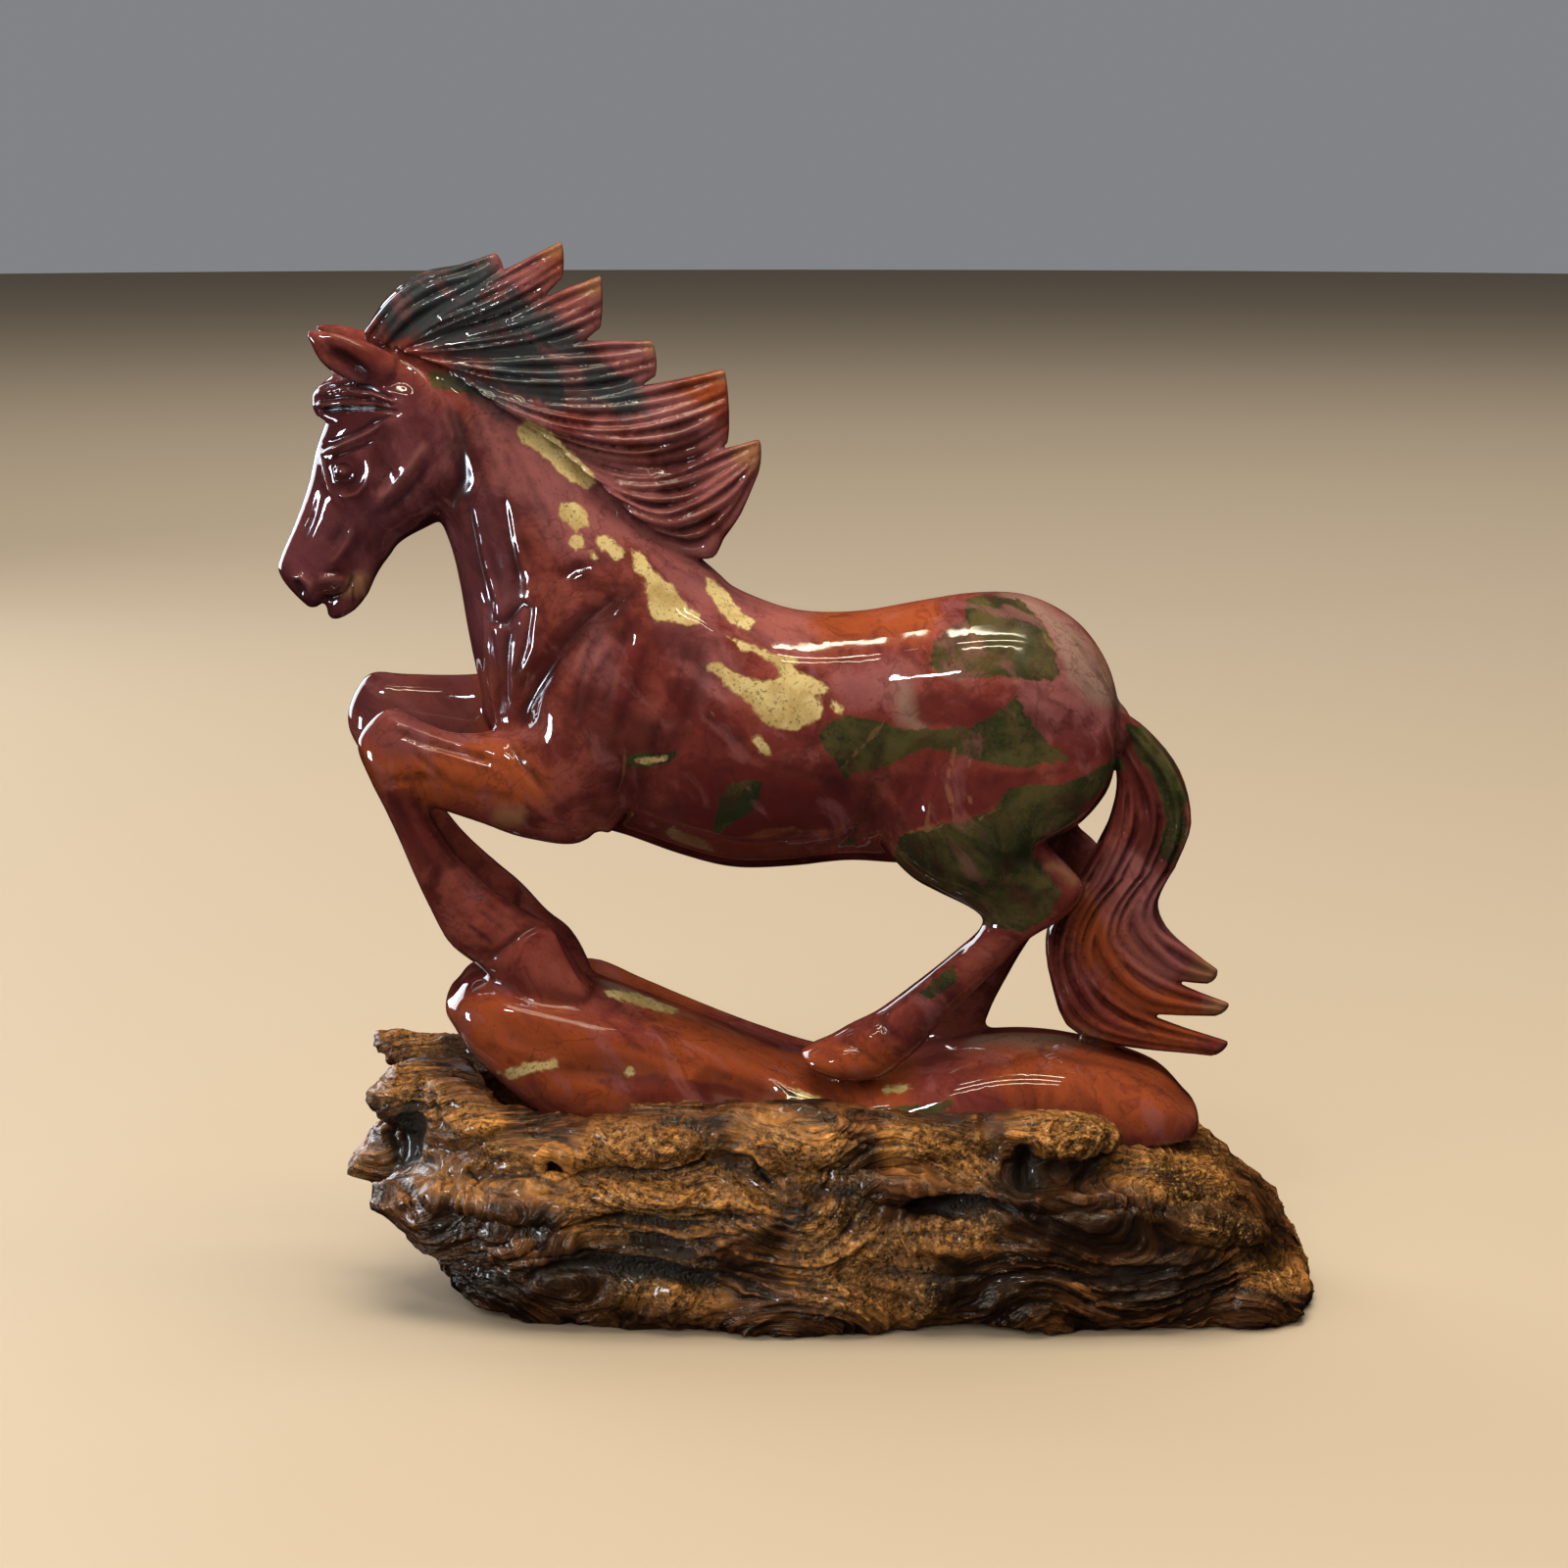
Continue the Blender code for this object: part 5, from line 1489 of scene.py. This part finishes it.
def polished_stone(colours):
    """Veined, clouded red jasper-like stone with green bands, speckled cream patches, painted shade and
    light.
    """
    finish = Finish("polished_stone")
    place = finish.place()
    warp = finish.cloud(place, 24, detail=2, output="Color")
    bent = finish.added(place, finish.scaled(warp, (0.03, 0.03, 0.03)))
    clouds = finish.cloud(bent, 34, detail=6, roughness=0.62, distortion=0.6)
    wide = finish.cloud(place, 11, detail=2)
    mottle = finish.cloud(bent, 90, detail=6, roughness=0.68)
    slanted = finish.scaled(finish.turned(bent, (0.3, 0.7, 0.4)), (1, 1, 0.28))
    strokes = finish.cloud(slanted, 130, detail=4, roughness=0.6)
    edge = finish.cloud(place, 130, detail=5, roughness=0.68) - 0.5
    edge_fine = finish.cloud(place, 480, detail=2) - 0.5
    grain = finish.cloud(place, 1100, detail=2, roughness=0.7)
    body = finish.mixed(finish.stepped(clouds, 0.30, 0.60), colours.deep, colours.oxblood)
    body = finish.mixed(finish.stepped(mottle + wide * 0.4, 0.62, 0.86) * 0.7, body, colours.russet)
    tints = (
        ("orange", edge * 4 + (mottle - 0.5) * 5, -2.0, 2.0, 0.78, colours.orange),
        ("mauve", (mottle - 0.5) * 5, -1.2, 1.6, 0.6, colours.mauve),
        ("plum", edge * 2 + (clouds - 0.5) * 5, -1.2, 1.8, 0.66, colours.plum),
        # The dark patches are painted shade.
        ("dark", edge * 5, -1.2, 1.2, 0.65, colours.deep),
        # On the rump, the grey, one mauve patch and one pale patch are painted sheen.
        ("grey", edge * 2, -1.3, 0.9, 0.6, colours.grey),
        ("wine", edge * 2.2 + edge_fine * 0.6, -0.25, 0.45, 0.72, colours.wine),
    )
    for tint in tints:
        body = finish.tinted(body, *tint)
    green = finish.stepped(finish.field("green") + edge * 1.3 + edge_fine * 0.7, -0.06, 0.14)
    light = finish.stepped(mottle + (clouds - 0.5) * 0.6, 0.40, 0.62)
    shade = finish.stepped(1 - clouds + (grain - 0.5) * 0.5, 0.48, 0.66)
    moss = finish.mixed(light, colours.olive, colours.moss)
    moss = finish.mixed(shade * 0.6, moss, GREEN_SHADE)
    body = finish.mixed(green * 0.94, body, moss)
    hair = edge * 5 + edge_fine + (strokes - 0.5) * 4
    body = finish.tinted(body, "slate", hair, -1.5, 1.1, 0.92, colours.slate)
    body = finish.mixed(finish.stepped(strokes, 0.53, 0.67) * 0.4, body, colours.deep)
    body = finish.mixed(finish.stepped(1 - strokes, 0.54, 0.68) * 0.4, body, colours.mauve)
    veins = (finish.cloud(bent, 46, detail=4, roughness=0.55) - 0.5).size()
    body = finish.mixed((1 - finish.stepped(veins, 0.0, 0.016)) * 0.35, body, colours.deep)
    body = finish.mixed(finish.stepped(grain, 0.58, 0.70) * 0.4, body, colours.deep)
    # Fine dark lines: partly veins, partly painted shade along the carved creases, eye and mouth.
    body = finish.tinted(body, "line", edge * 1.6, -0.7, 0.7, 0.6, LINE_AND_CREASE_SHADE)
    body = finish.tinted(body, "seam", edge * 1.2, 0.0, 0.2, 0.4, colours.sand)
    ragged = finish.field("cream") + edge * 1.1 + edge_fine * 0.8
    rim = finish.stepped(ragged, -0.22, 0.0)
    body = finish.mixed(rim * 0.55, body, colours.ochre)
    cream = finish.stepped(ragged, -0.03, 0.07)
    pale = finish.mixed(finish.stepped(mottle, 0.40, 0.62), colours.cream, colours.ochre)
    pale = finish.mixed(finish.stepped(grain, 0.57, 0.64) * 0.75, pale, CREAM_SPECK)
    body = finish.mixed(cream, body, pale)
    body = finish.tinted(body, "pale", edge * 3, -0.8, 1.0, 0.7, colours.sand)
    groove = finish.field("groove")
    crest = finish.field("crest")
    dull = finish.stepped(finish.field("dull") + edge * 0.5, -2.4, 1.5)
    # Painted shade in the grooves and a painted highlight on the crests.
    body = finish.mixed(groove * 0.85, body, GROOVE_SHADE)
    body = finish.mixed(crest * 0.2, body, CREST_HIGHLIGHT)
    ripple = finish.cloud(place, 46, detail=1)
    finish.set(
        Base_Color=body,
        Roughness=0.045 + groove * 0.3 + crest * 0.13 + dull * 0.2,
        Normal=finish.bump(ripple, 0.16, 0.0012),
        IOR=1.6,
    )
    return finish.material


def lacquered_wood(colours):
    """Gnarled brown root wood, golden where it is worn, with painted shade in its cracks, under uneven
    lacquer.
    """
    finish = Finish("root_wood")
    place = finish.place()
    along, across = (finish.node("ShaderNodeSeparateXYZ", {}, {"Vector": place}, axis) for axis in "XY")
    flow = finish.field("flow")
    grain = finish.vector(along * 26, flow * 420, across * 150)
    fine_grain = finish.vector(along * 70, flow * 1300, across * 450)
    streaks = finish.cloud(grain, 1, detail=4, roughness=0.6, distortion=0.4)
    threads = finish.cloud(fine_grain, 1, detail=3, roughness=0.65)
    clouds = finish.cloud(place, 30, detail=4, roughness=0.55)
    grit = finish.cloud(place, 640, detail=4, roughness=0.75)
    burl = finish.stepped(finish.cloud(place, 42, detail=3) + finish.field("amber") * 0.06, 0.47, 0.60)
    pits = 1 - finish.stepped(finish.cells(place, 760), 0.0, 0.5)
    raised = finish.field("raised")
    sunken = finish.field("sunken")
    # Painted shade where the wood is darkest.
    umber_shade = finish.stepped(finish.field("umber_shade") + (clouds - 0.5) * 5, -1.4, 1.4)
    body = finish.mixed(finish.stepped(streaks, 0.38, 0.62), colours.bark, colours.brown)
    glow = finish.stepped(clouds + streaks * 0.5 + raised * 0.6, 0.86, 1.35)
    body = finish.mixed(glow * 0.75, body, colours.chestnut)
    amber = finish.stepped(finish.field("amber") + (clouds - 0.5) * 4 + (grit - 0.5) * 3, -0.9, 1.5)
    body = finish.mixed(amber * (0.35 + raised * 0.65), body, colours.amber)
    body = finish.mixed(umber_shade * 0.8, body, colours.bark)
    body = finish.mixed(finish.stepped(threads, 0.49, 0.62) * 0.65, body, colours.bark)
    body = finish.mixed(finish.stepped(grit, 0.49, 0.61) * (0.35 + burl * 0.45), body, colours.bark)
    body = finish.mixed(finish.stepped(1 - grit, 0.54, 0.66) * burl * amber * 0.6, body, GOLD_FLECK)
    # Painted shade in the cracks and recesses.
    body = finish.mixed(sunken, body, colours.bark)
    shine = finish.stepped(finish.cloud(place, 70, detail=3), 0.35, 0.65)
    height = streaks * 1.1 + threads * 0.45 + grit * (0.25 + burl * 0.7) - pits * burl * 0.35
    finish.set(
        Base_Color=body,
        Roughness=0.15 + shine * 0.14 + sunken * 0.35,
        Normal=finish.bump(height, 0.95, 0.0014),
        IOR=1.55,
        Specular_Tint=(1, 0.8, 0.58, 1),
        Coat_Weight=0.3,
        Coat_Roughness=0.07,
    )
    return finish.material


def pale_floor(tint):
    """The floor's plain, half-matt finish."""
    finish = Finish("pale_floor")
    finish.set(Base_Color=(*tint, 1), Roughness=0.55)
    return finish.material


def finished(name, mesh, material, node):
    """The mesh as a piece of the frame, in the place of its solid."""
    mesh.materials.clear()
    mesh.materials.append(material)
    mesh.shade_smooth()
    piece = bpy.data.objects.new(name, mesh)
    bpy.context.scene.collection.objects.link(piece)
    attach(piece, "root")
    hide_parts(node)
    return piece


def flow_height(spots, away):
    """The height that the grain keeps to: level lines that wave, and part round the knots."""
    x, y = spots[:, 0], spots[:, 1]
    along, up, across = WAVE_LENGTHS
    wave = [noise.noise(Vector((a / along, b / up, c / across))) for a, b, c in zip(x, y, away)]
    flow = -y + WAVE_HEIGHT * np.array(wave)
    for knot_x, knot_y, reach, strength in KNOTS:
        far = (x - knot_x) ** 2 * 0.55 + (y - knot_y) ** 2
        flow += strength * (y - knot_y) * reach * reach / (far + 0.4 * reach * reach)
    return flow


class HORSE_OT_carve_stone(bpy.types.Operator):
    """Carves the horse and its ledge as one polished stone"""

    bl_idname = "horse.carve_stone"
    bl_label = "Carve the stone horse"
    bl_options = {"REGISTER", "UNDO"}

    def carving(self, sizes, scale, fineness):
        """The horse and its ledge as one skin, with its grooves and crests marked."""
        masses = bmesh.new()
        for sections in SINGLE_MASSES:
            loft(masses, sections, scale)
        for sections in PAIRED_MASSES:
            loft(masses, sections, scale)
            loft(masses, [(*row[:5], -row[5]) for row in sections], scale)
        loft(masses, LEDGE, scale, **LEDGE_FORM)
        loft(masses, LEDGE_BACK, scale)
        detailed = bmesh.new()
        detailed.from_mesh(fused(masses, sizes.height / MASS_VOXELS, rounds=8))
        for sections in (NEAR_EAR, FAR_EAR):
            loft(detailed, sections, scale)
        for upper, lower, thickness, strands in MANE + FORELOCK + TAIL:
            lock(detailed, upper, lower, thickness, strands, scale)
        stone = fused(detailed, fineness, rounds=2)
        depth = carved(stone, BODY_STROKES, scale)
        stone = evaluated(stone, "SMOOTH", factor=0.5, iterations=1)
        fine, broad = (relief(stone, rounds) / scale.y for rounds in (8, 60))
        # The grooves get painted shade and the crests a painted highlight, besides their roughness.
        groove = rise(-fine, 0, 0.9) * 0.7 + rise(-broad, 0, 4) * 0.3
        write_field(stone, "groove", groove + 0.35 * rise(depth, 0.6, 3))
        write_field(stone, "crest", rise(fine, 0.25, 0.7))
        refined(stone, EYE_AND_MOUTH, scale)
        depth = carved(stone, HEAD_STROKES, scale)
        write_field(stone, "groove", read_field(stone, "groove") + 0.65 * rise(depth, 0.4, 2.6))
        write_field(stone, "crest", read_field(stone, "crest") + rise(-depth, 0.4, 2))
        return stone

    def colour_fields(self, mesh, scale):
        """Writes where the stone's colours and its painted shade and sheen are, on the near and the far
        side.
        """
        points = vertex_values(mesh, "co") - np.array(CENTRE_SHIFT)
        near = sheet_spots(points / scale)
        far = sheet_spots(points * (1, -1, 1) / scale)
        behind = points[:, 1] / scale.y
        # For each colour, how its patches are given, and those of the near and of the far side.
        fields = {
            "cream": (inside_outlines, CREAM_NEAR, CREAM_FAR),
            "green": (inside_outlines, GREEN_NEAR, GREEN_FAR),
            "grey": (inside_outlines, GREY_NEAR, GREY_FAR),
            # The dark patches are painted shade.
            "dark": (inside_patches, SHADE_NEAR, SHADE_FAR),
            "orange": (inside_patches, ORANGE_NEAR, ORANGE_FAR),
            "mauve": (inside_patches, MAUVE_NEAR, MAUVE_NEAR),
            "pale": (inside_patches, PALE_NEAR, PALE_FAR),
            "plum": (inside_patches, PLUM, PLUM),
            "slate": (inside_patches, SLATE, SLATE),
            "dull": (inside_outlines, DULL, DULL),
            "wine": (inside_outlines, WINE, WINE),
            "seam": (inside_patches, SEAMS, SEAMS),
            "line": (inside_patches, LINES, LINES),
        }
        for name, (inside, near_patches, far_patches) in fields.items():
            best = np.full(len(points), LEAST_FIELD, float)
            for spots, patches, beyond in ((near, near_patches, behind), (far, far_patches, -behind)):
                lost = np.maximum(beyond / SIDE_REACH - 1, 0)
                best = np.maximum(best, np.minimum(inside(spots, patches), FULL_FIELD) - lost)
            write_field(mesh, name, best)

    def execute(self, context):
        sizes, stand = context.scene.horse_carving, context.scene.horse_stand
        scale = Vector((1, 1, 1)) * (sizes.height / CARVING_UNITS)
        fineness = sizes.fineness * 1
        model = self.carving(sizes, scale, fineness)
        stone = evened(reduced(model, sizes.triangles), sizes.longest_edge, model)
        seat = stand.height - stand.pocket_depth
        stone.transform(Matrix.Translation((0, 0, seat - SEAT_UNITS * scale.z)))
        cut_flat(stone, seat + RESTING_GAP)
        settled(stone, STONE_BOX)
        self.colour_fields(stone, scale)
        material = polished_stone(context.scene.horse_stone)
        finished("carved_stone", stone, material, "stone_horse")
        return {"FINISHED"}


def ridge(place):
    """1 along winding lines and less beside them."""
    return 1 - abs(noise.noise(place))


class HORSE_OT_grow_wood(bpy.types.Operator):
    """Grows the root-wood stand with its grain and cuts the pocket for the stone"""

    bl_idname = "horse.grow_wood"
    bl_label = "Grow the root-wood stand"
    bl_options = {"REGISTER", "UNDO"}

    def weathered(self, mesh, scale, depth):
        """Swells the skin in knurls and winding ridges of grain, except where it was carved deep."""
        noise.seed_set(GRAIN_SEED)
        points, normals = vertex_values(mesh, "co"), vertex_values(mesh, "normal")
        spots = sheet_spots(mirrored(points) / scale)
        flow = flow_height(spots, points[:, 1] / scale.y)
        swelling = np.empty(len(points))
        for index, (point, level) in enumerate(zip(points, flow)):
            place = Vector(point)
            lump = noise.noise(SWELL_FINENESS * place)
            bent = place + 0.007 * noise.noise_vector(place * 22)
            cord = ridge(Vector((bent.x * 20, level / 17 + 1.5 * lump, bent.y * 34)))
            wrinkle = ridge(Vector((bent.x * 70, level / 6.5 + lump, bent.y * 90 + 7)))
            knurl = ridge(KNURL_FINENESS * bent + Vector((3, lump, 5)))
            crinkle = ridge(bent * 190)
            pit = min(0, noise.noise(place * 210) + 0.12)
            swelling[index] = lump * SWELL_HEIGHT + knurl**2 * KNURL_HEIGHT + cord**3 * CORD_HEIGHT
            swelling[index] += wrinkle**2 * WRINKLE_HEIGHT + crinkle**3 * CRINKLE_HEIGHT
            swelling[index] += pit * PIT_DEPTH - MEAN_GROWTH
        swelling *= 1 - rise(depth, 4, 6)
        set_points(mesh, points + normals * swelling[:, None])

    def wood(self, sizes, scale, fineness):
        """The stand before its pocket is cut, with its hollows and ridges marked."""
        block = bmesh.new()
        loft(block, STAND_BODY, scale, corners=36, squareness=2.8)
        for sections in WOOD_GROWTHS:
            loft(block, sections, scale)
        wood = fused(block, fineness, rounds=14)
        depth = carved(wood, WOOD_STROKES, scale)
        self.weathered(wood, scale, depth)
        standing = (relief(wood, rounds=6) + relief(wood, rounds=40)) / scale.y
        write_field(wood, "raised", rise(standing, 0.2, 4))
        # Sunken marks where shade is painted: the recesses and what was carved deep.
        write_field(wood, "sunken", np.maximum(0.92 * rise(-standing, 0.2, 3), rise(depth, 3, 5)))
        wood = reduced(wood, sizes.triangles)
        cut_flat(wood, 0)
        return wood

    def room_for_stone(self, sections, growth, stone_scale, seat):
        """What the wood loses to make room: the form grown by a distance, down to the seat's height."""
        room = bmesh.new()
        loft(room, sections, stone_scale, growth=growth, **LEDGE_FORM)
        mesh = bpy.data.meshes.new("room")
        room.to_mesh(mesh)
        room.free()
        mesh.transform(Matrix.Translation((0, 0, seat - SEAT_UNITS * stone_scale.z)))
        cut_flat(mesh, seat)
        return mesh

    def without(self, mesh, room):
        """The mesh with the room's form cut out of it."""
        cutter = bpy.data.objects.new("room", room)
        bpy.context.scene.collection.objects.link(cutter)
        cut = evaluated(mesh, "BOOLEAN", operation="DIFFERENCE", solver="MANIFOLD", object=cutter)
        bpy.data.objects.remove(cutter)
        return cut

    def colour_fields(self, mesh, scale):
        """Writes how the grain flows, where the wood is golden and where shade is painted on it."""
        points = vertex_values(mesh, "co") - np.array(CENTRE_SHIFT)
        spots = sheet_spots(mirrored(points) / scale)
        write_field(mesh, "flow", flow_height(spots, points[:, 1] / scale.y) * scale.z)
        write_field(mesh, "amber", inside_patches(spots, AMBER))
        write_field(mesh, "umber_shade", inside_patches(spots, UMBER_SHADE))

    def execute(self, context):
        sizes, carving = context.scene.horse_stand, context.scene.horse_carving
        scale = Vector(a / b for a, b in zip((sizes.length, sizes.depth, sizes.height), STAND_UNITS))
        stone_scale = Vector((1, 1, 1)) * (carving.height / CARVING_UNITS)
        fineness = sizes.fineness * 1
        seat = sizes.height - sizes.pocket_depth
        wood = self.wood(sizes, scale, fineness)
        for sections, growth in ((LEDGE, sizes.pocket_clearance), (POCKET_HOLLOW, 0)):
            wood = self.without(wood, self.room_for_stone(sections, growth, stone_scale, seat))
        settled(wood, WOOD_BOX)
        self.colour_fields(wood, scale)
        material = lacquered_wood(context.scene.horse_wood)
        finished("gnarled_wood", wood, material, "wood_stand")
        return {"FINISHED"}


def area_light(name, place, aim, size, power, tint):
    """A rectangular light that faces a point."""
    data = bpy.data.lights.new(name, "AREA")
    data.shape = "RECTANGLE"
    data.size, data.size_y = size
    data.energy = power
    data.color = tint
    light = bpy.data.objects.new(name, data)
    bpy.context.scene.collection.objects.link(light)
    light.location = place
    light.rotation_mode = "QUATERNION"
    light.rotation_quaternion = (Vector(aim) - Vector(place)).to_track_quat("-Z", "Y")
    return light


class HORSE_OT_set_stage(bpy.types.Operator):
    """Sets the pale floor, the soft studio lights and the camera"""

    bl_idname = "horse.set_stage"
    bl_label = "Set the stage"
    bl_options = {"REGISTER", "UNDO"}

    def execute(self, context):
        settings = context.scene.horse_stage
        floor_shape = bmesh.new()
        bmesh.ops.create_circle(floor_shape, cap_ends=True, segments=96, radius=settings.floor_radius)
        mesh = bpy.data.meshes.new("floor")
        floor_shape.to_mesh(mesh)
        floor_shape.free()
        mesh.materials.append(pale_floor(settings.floor_colour))
        floor = bpy.data.objects.new("floor", mesh)
        floor.location.z = -FLOOR_GAP
        context.scene.collection.objects.link(floor)
        floor.visible_glossy = False
        floor.visible_diffuse = False
        self.light(context)
        self.camera(context, settings)
        return {"FINISHED"}

    def light(self, context):
        """Lights the object from all round and with studio lights."""
        world = bpy.data.worlds.new("surroundings")
        world.use_nodes = True
        background = world.node_tree.nodes["Background"]
        background.inputs["Color"].default_value = (*context.scene.horse_stage.surroundings, 1)
        background.inputs["Strength"].default_value = SURROUNDINGS_STRENGTH
        context.scene.world = world
        world.cycles_visibility.glossy = False
        for index, (y, width) in enumerate(STRIPS):
            place, below = (STRIP_X, y, STRIP_HEIGHT), (STRIP_X, y, 0)
            area_light(f"ceiling_{index}", place, below, (STRIP_LENGTH, width), width * STRIP_POWER, WARM)
        for *row, unseen_by in LIGHTS:
            light = area_light(*row)
            if unseen_by:
                setattr(light, f"visible_{unseen_by}", False)
        context.scene.view_settings.view_transform = "Standard"

    def camera(self, context, settings):
        """Puts the camera where the sheet's eye is."""
        data = bpy.data.cameras.new("camera")
        data.lens = settings.lens
        data.sensor_width = 36
        camera = bpy.data.objects.new("camera", data)
        context.scene.collection.objects.link(camera)
        unit = settings.distance / EYE_DISTANCE
        camera.location = EYE * unit + CENTRE_SHIFT
        camera.rotation_euler = (math.pi / 2 - EYE_ELEVATION, 0, 0)
        context.scene.camera = camera


class HORSE_PT_panel(bpy.types.Panel):
    """Sizes, colours and steps of the horse and its stand"""

    bl_idname = "HORSE_PT_panel"
    bl_label = "Stone Horse"
    bl_space_type = "VIEW_3D"
    bl_region_type = "UI"
    bl_category = "Stone Horse"

    def draw(self, context):
        for group_name, (group, _) in GROUPS.items():
            box = self.layout.box()
            box.label(text=group.__doc__)
            for name in group.__annotations__:
                box.prop(getattr(context.scene, group_name), name)
        for step in STEPS:
            self.layout.operator(step.bl_idname)


GROUPS = {
    "horse_carving": (CarvingSizes, "Carving"),
    "horse_stand": (StandSizes, "Stand"),
    "horse_stone": (StoneColours, "Stone"),
    "horse_wood": (WoodColours, "Wood"),
    "horse_stage": (StageSettings, "Stage"),
}
STEPS = (HORSE_OT_carve_stone, HORSE_OT_grow_wood, HORSE_OT_set_stage)


def register():
    """Adds the properties, the operators and the panel."""
    for name, (group, label) in GROUPS.items():
        bpy.utils.register_class(group)
        setattr(bpy.types.Scene, name, PointerProperty(type=group, name=label))
    for each in (*STEPS, HORSE_PT_panel):
        bpy.utils.register_class(each)


def unregister():
    """Takes them away again."""
    for each in (HORSE_PT_panel, *reversed(STEPS)):
        bpy.utils.unregister_class(each)
    for name, (group, _) in GROUPS.items():
        delattr(bpy.types.Scene, name)
        bpy.utils.unregister_class(group)


def main():
    """Makes the whole scene."""
    register()
    bpy.ops.horse.carve_stone()
    bpy.ops.horse.grow_wood()
    bpy.ops.horse.set_stage()


if __name__ == "__main__":
    main()
